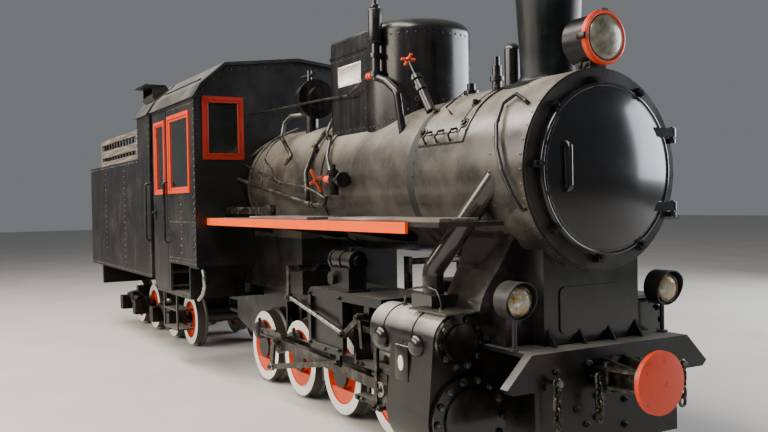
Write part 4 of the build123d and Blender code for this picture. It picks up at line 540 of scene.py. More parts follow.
def union(start, end, share, radius, length):
    """Six-sided pipe union with a collar at each end, part of the way along a run of pipe."""
    collar = 0.008
    run = (end - start).normalized()
    middle = start.lerp(end, share)
    pieces = [softened(disc(radius, length, middle - run * length / 2, run, 6), 0.003)]
    for shift in (-length / 2 - collar, length / 2):
        pieces.append(softened(disc(radius * 0.84, collar, middle + run * shift, run, 20), 0.002))
    return joined(pieces)


def sash(low, high, width, across):
    """Four bars round an opening; across is the index of the axis through the wall."""
    up, along = 2, 1 - across
    bars = []
    for axis, other in ((up, along), (along, up)):
        for end in (0, 1):
            corners = [list(low), list(high)]
            corners[1 - end][axis] = (high if end else low)[axis] + (-width if end else width)
            if axis == along:
                corners[0][other] += width
                corners[1][other] -= width
            bars.append(softened(block(*corners), 0.004, 1))
    return joined(bars)


class LocomotiveColours(bpy.types.PropertyGroup):
    """Colours of the finishes, as sRGB hex."""
    wheels: bpy.props.StringProperty(
        name="Wheel centres", description="Orange-red of the wheel centres, as sRGB hex", default="#d8481c")
    stripe: bpy.props.StringProperty(
        name="Stripe", description="Orange of the running boards' edges, as sRGB hex", default="#fb5800")
    windows: bpy.props.StringProperty(
        name="Window frames", description="Red of the window frames and buffer faces, as sRGB hex",
        default="#d03e1c")
    tyres: bpy.props.StringProperty(
        name="Tyres", description="White of the tyre faces, as sRGB hex", default="#e6e4dc")


class LocomotiveSizes(bpy.types.PropertyGroup):
    """Sizes of the small parts, and of the stage."""
    rivet_radius: bpy.props.FloatProperty(
        name="Rivet radius", description="Radius of the rivet heads", default=0.0085, min=0.002, unit="LENGTH")
    rivet_pitch: bpy.props.FloatProperty(
        name="Rivet pitch", description="Distance between rivets on the cab and tender", default=0.068, min=0.02,
        unit="LENGTH")
    nut_width: bpy.props.FloatProperty(
        name="Nut width", description="Width of the cover nuts across their corners", default=0.036, min=0.01,
        unit="LENGTH")
    lens: bpy.props.FloatProperty(
        name="Lens", description="Focal length in millimetres on a 36 mm wide sensor", default=39.51, min=10.0)
    floor_size: bpy.props.FloatProperty(
        name="Floor", description="Side of the square floor", default=120.0, min=20.0, unit="LENGTH")


# the finishes by a short name, made by the finishes operator
FINISH = {}


class LOCO_OT_stage(bpy.types.Operator):
    """Pale floor, soft lights and the camera at the photograph's angle"""
    bl_idname = "loco.stage"
    bl_label = "Stage"

    def execute(self, context):
        sizes = context.scene.loco_sizes
        clear()
        # a millimetre under the wheels, so that the two faces don't fight
        bpy.ops.mesh.primitive_plane_add(size=sizes.floor_size, location=(0, 0, CAD_BOX[0][2] - 0.001))
        floor = context.object
        floor.name = "floor"
        # floated concrete: matt and pale, with faint clouds about a metre across
        finish, tree, place = new_finish("pale_concrete")
        tone = add(tree, "TexNoise", {"Vector": place["Object"], "Scale": 0.9, "Detail": 5.0}).outputs["Fac"]
        colour = add(tree, "ValToRGB", {"Fac": tone}, stops=[(0.3, "#bdbab4"), (0.7, "#c8c5bf")]).outputs["Color"]
        floor.data.materials.append(shaded(finish, {"Base Color": colour, "Roughness": 0.75}))

        world = context.scene.world or bpy.data.worlds.new("soft_grey")
        context.scene.world = world
        world.use_nodes = True
        background = world.node_tree.nodes["Background"].inputs
        background["Color"].default_value = linear("#c8ccd2")
        background["Strength"].default_value = 0.3

        # name, place, aim, length, width, watts, colour
        lights = (
            ("left_strip", (5.0, 11.0, 4.0), (3.5, 0, 1.6), 12.0, 5.0, 1700, "#f2f6ff"),
            ("right_strip", (-1.5, -11.0, 6.5), (0.5, 0, 1.3), 14.0, 5.0, 2050, "#fff4e4"),
            ("top_strip", (0.5, -4.5, 9.5), (1.0, 0, 1.8), 16.0, 3.0, 2150, "#fffaf2"),
        )
        for name, place, aim, length, width, power, colour in lights:
            light = bpy.data.lights.new(name, "AREA")
            light.shape = "RECTANGLE"
            light.size = length
            light.size_y = width
            light.energy = power
            light.color = linear(colour)[:3]
            lamp = bpy.data.objects.new(name, light)
            context.collection.objects.link(lamp)
            lamp.location = place
            lamp.rotation_euler = (Vector(aim) - Vector(place)).to_track_quat("-Z", "Y").to_euler()

        level = math.cos(CAMERA_PITCH)
        ahead = Vector((-math.cos(CAMERA_YAW) * level, math.sin(CAMERA_YAW) * level, math.sin(CAMERA_PITCH)))
        right = ahead.cross(Vector((0, 0, 1))).normalized()
        up = right.cross(ahead)
        roll_cos, roll_sin = math.cos(CAMERA_ROLL), math.sin(CAMERA_ROLL)
        right, up = roll_cos * right + roll_sin * up, roll_cos * up - roll_sin * right
        camera_data = bpy.data.cameras.new("photo_camera")
        camera_data.lens = sizes.lens
        camera_data.sensor_width = 36.0
        camera_data.clip_end = 300.0
        camera = bpy.data.objects.new("photo_camera", camera_data)
        context.collection.objects.link(camera)
        turn = Matrix((right, up, -ahead)).transposed()
        camera.matrix_world = Matrix.Translation(at(*CAMERA_PLACE)) @ turn.to_4x4()
        context.scene.camera = camera
        return {"FINISHED"}


class LOCO_OT_finishes(bpy.types.Operator):
    """Makes the finishes and gives every CAD node its own"""
    bl_idname = "loco.finishes"
    bl_label = "Finishes"

    def execute(self, context):
        colours = context.scene.loco_colours
        red_stops = [(0.28, "#8a2412"), (0.42, colours.windows), (0.8, colours.windows)]
        shaded_red = [(0.28, "#54140b"), (0.42, "#8a2012"), (0.8, "#8a2012")]
        # near-black stops for painted shade: on the cab's front, its rivets, and the band where the smokebox meets the
        # barrel
        dark = [(0.3, "#0a0a0b"), (0.7, "#121212")]
        # painted shade on the smokebox's front face
        front_face_shade = [(0.3, "#1a1917"), (0.7, "#2b2825")]
        # painted shade under the boiler and over the firebox sides
        shade = [(0.3, "#090807"), (0.5, "#110f0d"), (0.75, "#1d1a16")]
        cab_black = [(0.3, "#0e0d0c"), (0.5, "#161514"), (0.72, "#272522")]
        coupler_iron = [(0.3, "#1d1a17"), (0.5, "#45413b"), (0.75, "#8a847a")]
        # pale tint for the boiler's upward faces: dust, and a painted top light
        jacket_dust_and_top_light = "#a39b8e"
        # painted shade: near-black over the step where the smokebox meets the barrel, where the gap's shadow falls, and
        # rougher so that it shines less
        band = (box_zone(x=(0.352, 0.478)), dark, 0.62)
        coupler_reach = (-1.0, 0.175)
        FINISH.update({
            # flat sheet, brush-painted: soft sheen, wiped cloudy, pale on its upper edges with dust and a painted top
            # light, and laid near-black on the cab's front as painted shade
            "sheet": enamel("black_enamel_sheet", cab_black, 380, (0.26, 0.44), streaks=0.1, dust_and_top_light=("#8a867e", 1.2),
                            zones=[(box_zone(x=(-2.62, -2.58), z=(1.0, FAR)), dark)]),
            # the same paint on the doors, which stay free of dust, with the red round their panes
            "doors": enamel("black_enamel_doors", cab_black, 380, (0.26, 0.44), streaks=0.1,
                            zones=[(box_zone(x=(-4.022, -3.613), z=(1.782, 2.55)), red_stops)]),
            # rolled jacket sheet: a warm grey sheen painted into the colour, with cloudy wiping marks; pale on top with
            # dust and a painted top light; painted shade darkens it where it turns under, over the firebox sides and at
            # the band by the smokebox
            "jacket": enamel("black_enamel_jacket", [(0.28, "#211f1c"), (0.5, "#37332e"), (0.72, "#595148")], 420,
                             (0.2, 0.36), dust_and_top_light=(jacket_dust_and_top_light, 1.3), streaks=0.14,
                             zones=[band, (box_zone(z=(-FAR, 1.36)), shade)]),
            # heat-proof paint, burnt in: greyer and more patchy than the jacket, its grey partly a painted sheen, and
            # pale on top with dust and a painted top light; painted shade lays it near-black at the band by the barrel
            # and dark on its front face
            "smoke": enamel("heat_proof_black", [(0.3, "#201e1b"), (0.5, "#35322d"), (0.75, "#554f46")], 260,
                            (0.2, 0.36), dust_and_top_light=(jacket_dust_and_top_light, 1.3),
                            zones=[band, (box_zone(x=(1.589, 1.7)), front_face_shade)]),
            # sooty paint on the chimney: nearly dull, with a cold blue-black
            "stack": enamel("chimney_black", [(0.3, "#0a0c0e"), (0.5, "#111517"), (0.75, "#22292d")], 200,
                            (0.26, 0.42), streaks=0.1, shine=0.16),
            # oiled paint on the hot pipes: wet highlights along their length
            "tubes": enamel("steam_pipe_black", [(0.3, "#161514"), (0.5, "#242220"), (0.75, "#3b3833")], 180,
                            (0.12, 0.22), dust_and_top_light=(jacket_dust_and_top_light, 0.4), coat=0.4),
            # fresh gloss enamel: deep black with sharp reflections
            "gloss": enamel("gloss_black_enamel", [(0.3, "#08080a"), (0.7, "#111112")], 400, (0.14, 0.24),
                            bump=0.06, coat=0.3),
            # polished casing: black and shiny, streaked a little by rain
            "casing": enamel("polished_casing_black", [(0.3, "#090909"), (0.5, "#111010"), (0.75, "#1e1c19")], 300,
                             (0.16, 0.32), dust_and_top_light=("#7a766e", 0.5), streaks=0.1),
            # oily black on castings: small wet patches
            "covers": enamel("cover_black", [(0.3, "#090908"), (0.5, "#11100f"), (0.75, "#1f1c19")], 120,
                             (0.16, 0.3), coat=0.3),
            # frame paint under years of oil: the darkest, pale on top with dust and a painted top light
            "under": enamel("frame_black_enamel", [(0.3, "#060606"), (0.5, "#0c0b0b"), (0.75, "#191613")], 160,
                            (0.24, 0.42), dust_and_top_light=("#8a867e", 0.8), shine=0.4),
            # worn paint on the cylinder jackets: their tops are pale with settled dust and a painted top light
            "chest": enamel("worn_chest_enamel", [(0.3, "#0a0909"), (0.5, "#121110"), (0.7, "#23211e")], 210,
                            (0.22, 0.38), dust_and_top_light=("#c9c6be", 1.9), shine=0.36),
            # weathered paint on the tank: duller than the cab, with rain runs
            "tender": enamel("worn_tender_enamel", [(0.3, "#0c0c0b"), (0.5, "#141312"), (0.72, "#2b2825")], 300,
                             (0.3, 0.5), streaks=0.14, dust_and_top_light=("#7a766e", 0.6), shine=0.32),
            # clean orange enamel: strong and even, soiled in a few spots
            "stripe": enamel("orange_enamel", [(0.25, "#b23c12"), (0.4, colours.stripe), (0.8, colours.stripe)], 260,
                             (0.28, 0.45), shine=0.25),
            # red enamel on the window frames: darker in the shade of the cab's front
            "red": enamel("red_window_enamel", red_stops, 150, (0.28, 0.45), shine=0.4,
                          zones=[(box_zone(x=(-2.612, -2.5), z=(1.9, 2.8)), shaded_red)]),
            # handled red enamel: rubbed paler on the spokes
            "handles": enamel("red_handle_enamel", [(0.3, "#9c2c14"), (0.5, "#e04c22"), (0.8, "#ee6a45")], 40,
                              (0.3, 0.5)),
            # rivet heads with the paint rubbed thin: grey specks in rows, laid black on the cab's front as painted
            # shade
            "heads": enamel("rubbed_rivet_heads", [(0.3, "#34322f"), (0.5, "#5d5a54"), (0.7, "#8b877f")], 60,
                            (0.3, 0.45), zones=[(box_zone(x=(-2.61, -2.5), z=(1.0, FAR)), dark)]),
            # sheet lamp body: dull black, with a red ring at its mouth
            "headlamp": enamel("headlamp_enamel", [(0.3, "#0a0a0a"), (0.7, "#151413")], 120, (0.25, 0.42),
                               shine=0.25, zones=[(round_zone(HEADLAMP_Z, (0.1285, 0.16), (1.598, 1.64)), red_stops)]),
            # small lamp bodies: grey-black, pale on top with dust and a painted top light
            "markers": enamel("marker_lamp_enamel", [(0.3, "#141415"), (0.7, "#2b2a29")], 120, (0.3, 0.5),
                              dust_and_top_light=("#6d6a64", 0.5)),
            # white vitreous enamel: smooth, slightly yellowed
            "white": enamel("white_plate_enamel", [(0.3, "#a9a79f"), (0.5, "#d8d6ce"), (0.75, "#e6e4dd")], 30,
                            (0.3, 0.5)),
            # printed dial faces: smooth and off-white
            "dial": enamel("dial_enamel", [(0.3, "#c9c6bb"), (0.7, "#e2dfd4")], 30, (0.2, 0.3)),
            # milled rod steel under oil: grey with brown-black edges
            "rods": bare_steel("oiled_rod_steel", [(0.3, "#1c1915"), (0.48, "#37332e"), (0.72, "#7d7a74")], 90,
                               (0.26, 0.48)),
            # ground steel that slides or is wiped daily: bright, with tight highlights
            "polished": bare_steel("rubbed_bright_steel", [(0.3, "#7d7b76"), (0.5, "#a19f9a"), (0.75, "#c4c2bd")], 50,
                                   (0.18, 0.3)),
            # turned and milled parts in the motion: bright and oily by turns
            "works": bare_steel("oily_machined_steel", [(0.3, "#171411"), (0.5, "#36322c"), (0.72, "#8a867c")], 60,
                                (0.22, 0.48)),
            # sand-cast iron: dark and rough
            "iron": bare_steel("oily_cast_iron", [(0.3, "#0f0d0b"), (0.5, "#211d19"), (0.75, "#423b33")], 70,
                               (0.35, 0.6), bump=0.5),
            # forged couplers, rubbed bright in places, with a red face
            "front_coupler": bare_steel("front_coupler_steel", coupler_iron, 60, (0.25, 0.45),
                                        zones=[(round_zone(COUPLER_Z, coupler_reach, (1.972, FAR)), red_stops)]),
            "rear_coupler": bare_steel("rear_coupler_steel", coupler_iron, 60, (0.25, 0.45),
                                       zones=[(round_zone(COUPLER_Z, coupler_reach, (-FAR, -7.992)), red_stops)]),
            # drawn pipe, once painted: dull grey metal
            "pipes": bare_steel("dull_pipe_steel", [(0.3, "#1f1e1c"), (0.5, "#494743"), (0.72, "#86827a")], 120,
                                (0.24, 0.4)),
            "glass": window_glass("cab_window_glass"),
            "planks": old_planks("worn_planks"),
            # the big lens has a grey-yellow cast, the small ones amber and white patches
            "headlamp_lens": lamp_glass("headlamp_glass", [(0.3, "#4a4737"), (0.5, "#716e5d"), (0.7, "#8d8b7c")], 60),
            "marker_lens": lamp_glass("marker_glass", [(0.3, "#6e4f16"), (0.44, "#a98d4c"), (0.55, "#8d8d86"),
                                                       (0.75, "#d9d9d3")], 30),
        })
        worn_by = {
            "sheet": "cab_front cab_sides cab_roof cab_steps tender_hood running_boards",
            "doors": "cab_door_left cab_door_right",
            "casing": "dome_casing boiler_fittings handrails",
            "stack": "chimney",
            "jacket": "boiler",
            "smoke": "smokebox",
            "tubes": "steam_pipes",
            "gloss": "smokebox_door",
            "covers": "cylinder_covers smokebox_saddle",
            "under": "frame buffer_beam motion_brackets brake_gear tender_frame cab_floor lubricators",
            "chest": "cylinders",
            "tender": "tender_tank filler_lid",
            "stripe": "board_edges",
            "red": "window_frames",
            "handles": "valve_handles",
            "headlamp": "headlamp",
            "markers": "marker_lamps",
            "rods": "coupling_rod_left coupling_rod_right main_rods",
            "works": "valve_gear crossheads coupling_chains",
            "front_coupler": "front_coupler",
            "rear_coupler": "tender_coupler",
            "iron": "axleboxes leaf_springs bogie_front bogie_rear backhead",
            "pipes": "boiler_pipes",
            "glass": "cab_glass door_glass_left door_glass_right",
            "planks": "coal_boards",
        }
        finish_of = {node: FINISH[key] for key, nodes in worn_by.items() for node in nodes.split()}
        # the radii at which the white band and the tread begin
        for prefix, rim, tread in (("", 0.243, 0.325), ("tender_", 0.218, 0.3)):
            for number in range(1, 5):
                node = f"{prefix}wheelset_{number}"
                centre = JOINT[f"{prefix}axle_{number}_turn"]
                finish_of[node] = wheel_enamel("painted_" + node, centre, rim, tread, colours.wheels, colours.tyres)
        for name, node in frame["nodes"].items():
            node.data.materials.clear()
            node.data.materials.append(finish_of[name])
        return {"FINISHED"}


class LOCO_OT_rivets(bpy.types.Operator):
    """Rivet rows on the cab, the tender, the casing and the smokebox"""
    bl_idname = "loco.rivets"
    bl_label = "Rivets"

    def execute(self, context):
        sizes = context.scene.loco_sizes
        pitch = sizes.rivet_pitch
        head = rivet(sizes.rivet_radius, sizes.rivet_radius * 0.6)
        forward, back = (1, 0, 0), (-1, 0, 0)

        # x and z at both ends of each row: two along the foot, the corner, the panels' edges and the cornice
        cab = flank_rows(CAB_HALF_WIDTH, (
            ((-3.53, 1.105), (-2.64, 1.105)), ((-3.5, 1.14), (-2.67, 1.14)), ((-2.625, 1.16), (-2.625, 2.63)),
            ((-2.665, 1.2), (-2.665, 1.74)), ((-3.53, 1.2), (-3.53, 1.74)), ((-3.08, 1.2), (-3.08, 1.74)),
            ((-3.50, 1.5), (-3.12, 1.5)), ((-3.04, 1.5), (-2.7, 1.5)), ((-3.5, 2.625), (-2.7, 2.625))), pitch)
        # y and z round the cab's front, and along its foot
        outline = [(1.02, 1.11), (1.02, 2.66), (0.975, 2.745), (0.745, 2.945), (0.0, 3.025)]
        for start, end in [*zip(outline, outline[1:]), ((0.95, 1.11), (0.62, 1.11))]:
            for side in SIDES:
                cab += facing([at(CAB_FRONT, side * y, z) for y, z in row(start, end, pitch)], forward)
        cab += facing(circle(CAB_FRONT, 0, BOILER_Z, 0.575, 22, -8, 188), forward)
        settle(strewn(head, cab), "cab_rivets", "heads")

        # the tank's foot, rim and upright seams, and the hood's front and rear edges
        tank = flank_rows(CAB_HALF_WIDTH, (
            ((-7.58, 0.9), (-4.28, 0.9)), ((-7.58, 2.18), (-4.84, 2.18)), ((-4.28, 0.98), (-4.28, 1.24)),
            ((-5.5, 0.98), (-5.5, 2.1)), ((-6.6, 0.98), (-6.6, 2.1)), ((-4.78, 2.25), (-4.78, 2.62)),
            ((-4.28, 2.25), (-4.28, 2.62))), pitch)
        # y and z of the rows on its rear
        for start, end in (((-0.95, 0.9), (0.95, 0.9)), ((-0.95, 2.18), (0.95, 2.18)), ((-0.95, 0.98), (-0.95, 2.1)),
                           ((0.95, 0.98), (0.95, 2.1)), ((0, 0.98), (0, 2.1))):
            tank += facing([at(TENDER_REAR, y, z) for y, z in row(start, end, pitch)], back)
        settle(strewn(head, tank), "tender_rivets", "heads", body="tender")

        foot, top = BOILER_Z + 0.4, 2.775
        casing = flank_rows(CASING_HALF_WIDTH, (((-1.0, foot), (-0.5, foot)), ((-1.0, top), (-0.5, top)),
                                                ((-0.47, 2.29), (-0.47, 2.72))), 0.072)
        # round the front of the drum, along its foot on the barrel and under its crown
        for turn in range(-96, 97, 9):
            around = Vector((math.cos(math.radians(turn)), math.sin(math.radians(turn)), 0))
            seat = math.sqrt(BARREL_RADIUS ** 2 - (DOME_RADIUS * around.y) ** 2)
            for z in (BOILER_Z + seat + 0.035, 2.865):
                casing.append((at(DOME_X, 0, z) + around * DOME_RADIUS, around))
        settle(strewn(head, casing), "casing_rivets", "casing")

        smoke = []
        # x of each ring of rivets, its radius and how many it has
        for x, radius, count in ((0.47, 0.56, 40), (1.3, 0.57, 36), (1.57, 0.57, 44)):
            smoke += [(point, point - at(x, 0, BOILER_Z)) for point in circle(x, 0, BOILER_Z, radius, count)]
        settle(strewn(head, smoke), "smokebox_rivets", "smoke")
        discard(head)
        return {"FINISHED"}


class LOCO_OT_nuts(bpy.types.Operator):
    """Nuts on the cylinder covers, the beam, the apron and the motion brackets, and the caps of the crankpins"""
    bl_idname = "loco.nuts"
    bl_label = "Nuts"

    def execute(self, context):
        nut = hex_nut(context.scene.loco_sizes.nut_width, 0.016)
        covers = []
        for side in SIDES:
            # the cylinder's front and rear covers, then the steam chest's front one
            for x, direction in ((1.21, 1), (0.69, -1)):
                covers += facing(circle(x, side * CYLINDER_Y, CYLINDER_Z, 0.222, 14), (direction, 0, 0))
            covers += facing(circle(1.21, side * CHEST_Y, CHEST_Z, 0.135, 10), (1, 0, 0))
        settle(strewn(nut, covers), "cover_nuts", "works")
        # y and z of the nuts on the apron and on the beam, x and z of those on the brackets
        apron = ((-0.113, 0.564), (-0.116, 0.449), (0.098, 0.52), (0.095, 0.379), (-0.26, 0.513), (-0.19, 0.421))
        beam = ((-0.425, 0.738), (0.425, 0.738), (0.195, 0.667), (-0.195, 0.76))
        front = [at(x, y, z) for x, spots in ((1.64, apron), (1.665, beam)) for y, z in spots]
        settle(strewn(nut, facing(front, (1, 0, 0))), "front_nuts", "under")
        small = hex_nut(0.026, 0.012)
        spots = ((-0.68, 0.99), (-0.68, 0.62), (-0.2, 0.62), (-0.44, 0.599), (-0.19, 0.99))
        motion = [place for side in SIDES for place in on_flank(side, 0.775, spots)]
        settle(strewn(small, motion), "bracket_nuts", "works")
        # the third wheelset's pins carry the main rods and have no caps
        for number in (1, 2, 4):
            axle = JOINT[f"axle_{number}_turn"]
            caps = [button(0.036, 0.006, (axle.x + x, side * 0.556, axle.z + z), (0, side, 0), 24, 0.014, 0.004, 0.0015)
                    for side, (x, z) in CRANK.items()]
            settle(joined(caps), f"crankpin_caps_{number}", "works", f"wheelset_{number}")
        discard(small, nut)
        return {"FINISHED"}


class LOCO_OT_sashes(bpy.types.Operator):
    """Inner sashes of the cab's windows and doors"""
    bl_idname = "loco.sashes"
    bl_label = "Window sashes"

    def execute(self, context):
        # each sash by the low and high corners of its opening
        fixed = []
        for side, name in SIDES.items():
            wall = sorted((side * 1.036, side * 1.053))
            fixed.append(sash(at(-3.466, wall[0], 1.818), at(-2.794, wall[1], 2.534), 0.026, 1))
            front = sorted((side * 0.600, side * 0.936))
            fixed.append(sash(at(-2.604, front[0], 2.124), at(-2.590, front[1], 2.651), 0.026, 0))
            door = sash(at(-3.986, wall[0], 1.818), at(-3.649, wall[1], 2.514), 0.018, 1)
            settle(door, f"door_sash_{name}", "red", f"cab_door_{name}")
        settle(joined(fixed), "cab_sashes", "red")
        return {"FINISHED"}


class LOCO_OT_motion(bpy.types.Operator):
    """Pins, nuts and the rubbed rod of the valve gear, and the drain cocks"""
    bl_idname = "loco.motion"
    bl_label = "Motion details"

    def execute(self, context):
        gear_plane, rod_plane, lever_plane = 0.717, 0.695, 0.824
        nut = hex_nut(0.042, 0.018)
        # x and z of the pins that stand differently on the two sides, the return crank's first
        joints = {-1: ((-1.644, 0.270), (0.210, 0.790), (0.210, 0.860), (0.200, 0.295), (0.270, 0.300)),
                  1: ((-1.655, 0.369), (0.358, 0.790), (0.358, 0.860), (0.348, 0.295), (0.418, 0.300))}
        crosshead_pin = {-1: (0.250, CYLINDER_Z), 1: (0.3984, CYLINDER_Z)}
        link_pins = ((-0.350, 0.500), (-0.350, 0.820), (-0.350, 0.880))
        lever_pins = ((-1.010, 0.929), (-0.072, 0.752), (0.176, 0.900))
        places = []
        for side in SIDES:
            places += on_flank(side, gear_plane, joints[side] + link_pins)
            places += on_flank(side, rod_plane, [crosshead_pin[side]])
            places += on_flank(side, lever_plane, lever_pins)
        settle(strewn(nut, places), "gear_nuts", "works")
        collars = []
        for side in SIDES:
            for (x, z), y, radius, depth in ((crosshead_pin[side], rod_plane, 0.052, 0.016),
                                             (link_pins[1], gear_plane, 0.034, 0.012),
                                             (joints[side][0], gear_plane, 0.036, 0.012)):
                collars.append(button(radius, depth, at(x, side * y, z), (0, side, 0), 28, radius * 0.2, -depth * 0.25,
                                      0.002))
        settle(joined(collars), "pin_collars", "polished")
        # the slide bars are bolted at both ends, above and below the piston rod
        small = hex_nut(0.03, 0.012)
        ends = [(x, z) for z in (0.54, 0.30) for x in (-0.09, -0.03, 0.56, 0.63)]
        bolts = [place for side in SIDES for place in on_flank(side, 0.69, ends)]
        settle(strewn(small, bolts), "slide_bar_nuts", "works")
        discard(nut, small)
        rods = [bar([at(x, side * 0.803, z) for x, z in lever_pins[:2]], 0.014, 3) for side in SIDES]
        settle(joined(rods), "reversing_rod_face", "polished")
        # radius, length, height of its top, vertices and bevel
        barrel_and_tip = ((0.017, 0.045, 0.158, 12, 0.003), (0.010, 0.02, 0.115, 10, 0.002))
        cocks = []
        for side in SIDES:
            for x in (0.78, 0.95, 1.12):
                for radius, depth, z, vertices, edge in barrel_and_tip:
                    cock = disc(radius, depth, at(x, side * CYLINDER_Y, z), (0, 0, -1), vertices)
                    cocks.append(softened(cock, edge))
            cocks.append(bar([at(x, side * 0.675, 0.133) for x in (0.75, 1.15)], 0.006))
        settle(joined(cocks), "drain_cocks", "works")
        return {"FINISHED"}


class LOCO_OT_door(bpy.types.Operator):
    """Rolled edge of the smokebox door, which turns with it"""
    bl_idname = "loco.door"
    bl_label = "Door edge"

    def execute(self, context):
        clear()
        bpy.ops.mesh.primitive_torus_add(major_radius=0.470, minor_radius=0.013, major_segments=96, minor_segments=10,
                                         location=at(1.632, 0, BOILER_Z), rotation=(0, math.pi / 2, 0))
        roll = context.object
        bpy.ops.object.shade_smooth()
        groove = bar(circle(1.6395, 0, BOILER_Z, 0.448, 90), 0.004, cyclic=True)
        settle(joined([roll, groove]), "door_roll", "gloss", body="smokebox_door")
        return {"FINISHED"}


class LOCO_OT_chimney(bpy.types.Operator):
    """Tapered chimney on a plate that follows the smokebox, with a rolled lip, and the whistle's bell"""
    bl_idname = "loco.chimney"
    bl_label = "Chimney"

    def execute(self, context):
        stack_x = 1.16
        # middle, radius and height of each ring; a height under 1 m is counted from the smokebox's skin
        rings = ((1.11, 0.250, -0.004), (1.11, 0.250, 0.006), (1.11, 0.243, 0.010), (1.14, 0.198, 0.010),
                 (1.155, 0.183, 0.020), (stack_x, 0.177, 0.045), (stack_x, 0.179, 2.52), (stack_x, 0.2105, 3.105),
                 (stack_x, 0.221, 3.112), (stack_x, 0.225, 3.125), (stack_x, 0.225, 3.168), (stack_x, 0.219, 3.180),
                 (stack_x, 0.203, 3.180), (stack_x, 0.198, 3.168), (stack_x, 0.160, 2.52), (stack_x, 0.155, -0.02))
        clear()
        x, radius, z = rings[0]
        bpy.ops.mesh.primitive_circle_add(vertices=80, radius=radius, location=at(x, 0, z))
        chimney = settled()
        bpy.ops.object.mode_set(mode="EDIT")
        bpy.ops.mesh.select_mode(type="EDGE")
        bpy.ops.mesh.select_all(action="SELECT")
        for next_x, next_radius, next_z in rings[1:]:
            bpy.ops.mesh.extrude_region_move(TRANSFORM_OT_translate={"value": (next_x - x, 0, next_z - z)})
            share = next_radius / radius
            bpy.ops.transform.resize(value=(share, share, 1.0), center_override=tuple(at(next_x, 0, next_z)))
            x, radius, z = next_x, next_radius, next_z
        bpy.ops.mesh.select_all(action="DESELECT")
        bpy.ops.mesh.select_non_manifold()
        bpy.ops.mesh.bridge_edge_loops()
        bpy.ops.mesh.select_all(action="SELECT")
        bpy.ops.mesh.normals_make_consistent(inside=False)
        bpy.ops.object.mode_set(mode="OBJECT")
        for vertex in chimney.data.vertices:
            if vertex.co.z < 1.0:
                vertex.co.z += BOILER_Z + math.sqrt(SMOKEBOX_RADIUS ** 2 - vertex.co.y ** 2)
        smooth(40)
        settle(chimney, "chimney_stack", "stack")
        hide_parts("chimney")

        bell = softened(disc(0.050, 0.25, at(WHISTLE_X, WHISTLE_Y, 2.80), (0, 0, 1), 28), 0.010, 3)
        crown = softened(disc(0.036, 0.03, at(WHISTLE_X, WHISTLE_Y, 3.05), (0, 0, 1), 28), 0.006)
        settle(joined([bell, crown]), "whistle_bell", "casing")
        return {"FINISHED"}


class LOCO_OT_hatch(bpy.types.Operator):
    """Cleaning hatch on the smokebox, with its studs, clasps and handle"""
    bl_idname = "loco.hatch"
    bl_label = "Smokebox hatch"

    def execute(self, context):
        # each strip runs along its foot and then up and over, by x and angle
        outer = sweep((0.5, 20), (0.99, 20), 8, 0.004) + sweep((0.99, 20), (0.97, 160), 16, 0.004)[1:]
        inner = sweep((0.56, 27.3), (0.91, 27.3), 6, 0.002) + sweep((0.915, 27.3), (0.915, 33.3), 2, 0.002)[1:]
        inner += sweep((0.9, 33.3), (0.9, 140.3), 14, 0.002)[:-1]
        settle(joined([bar(outer, 0.007), bar(inner, 0.0035)]), "hatch_strip", "gloss")
        studs = []
        for x, angle in ((0.9, 50.4), (0.935, 33.0), (0.5, 30), (0.475, 48.4), (0.895, 70), (0.89, 92)):
            turn = math.radians(angle)
            studs.append((on_smokebox(x, angle, 0.0), (0, -math.cos(turn), math.sin(turn))))
        nut = hex_nut(0.04, 0.018)
        stud = joined([nut, softened(disc(0.034, 0.006, (0, 0, 0), (0, 0, 1), 20), 0.002)])
        settle(strewn(stud, studs), "hatch_studs", "works")
        discard(stud)
        clasps = []
        for x in (0.58, 0.714, 0.86):
            # shift in x, angle, and distance from the skin
            bends = ((-0.012, 21.5, 0.0), (0, 23.5, 0.035), (0.004, 27.5, 0.03), (0.012, 30.0, 0.0))
            clasps.append(bar([on_smokebox(x + shift, angle, rise) for shift, angle, rise in bends], 0.0075))
        grip = ((0.6, 68, 0.0), (0.6, 68, 0.035), (0.64, 47, 0.035), (0.71, 43, 0.035), (0.71, 43, 0.0))
        clasps.append(bar([on_smokebox(*bend) for bend in grip], 0.006))
        settle(joined(clasps), "hatch_clasps", "works")
        return {"FINISHED"}


class LOCO_OT_lamps(bpy.types.Operator):
    """Lenses, rims and clasps of the headlamp and the marker lamps"""
    bl_idname = "loco.lamps"
    bl_label = "Lamps"

    def execute(self, context):
        big = lens(0.124, 0.004, at(1.634, 0, HEADLAMP_Z), 48, ((0.03, 0.007), (0.035, 0.004), (0.03, 0.002)))
        settle(big, "headlamp_lens", "headlamp_lens")
        rim = bar(circle(1.628, 0, HEADLAMP_Z, 0.139, 45), 0.011, cyclic=True)
        settle(rim, "headlamp_rim", "red")
        clasp = softened(block(at(1.575, -0.168, 2.535), at(1.64, -0.146, 2.57)), 0.006)
        hinge = bar([at(1.62, -0.02, 2.705), at(1.62, 0.02, 2.705)], 0.012)
        feet = [bar([at(1.5, y, 2.37), at(1.53, y * 1.3, 2.425)], 0.011) for y in (-0.07, -0.035, 0.035, 0.07)]
        settle(joined([clasp, hinge] + feet), "headlamp_fittings", "works")
        # the middle of the marker lamps' mouths
        x, y, z = 1.542, 0.565, 1.112
        domes = []
        rims = []
        for side in SIDES:
            domes.append(lens(0.079, 0.003, at(x, side * y, z), 36, ((0.02, 0.006), (0.024, 0.004))))
            rims.append(bar(circle(x, side * y, z, 0.083, 36), 0.006, cyclic=True))
        settle(joined(domes), "marker_lenses", "marker_lens")
        settle(joined(rims), "marker_rims", "works")
        return {"FINISHED"}


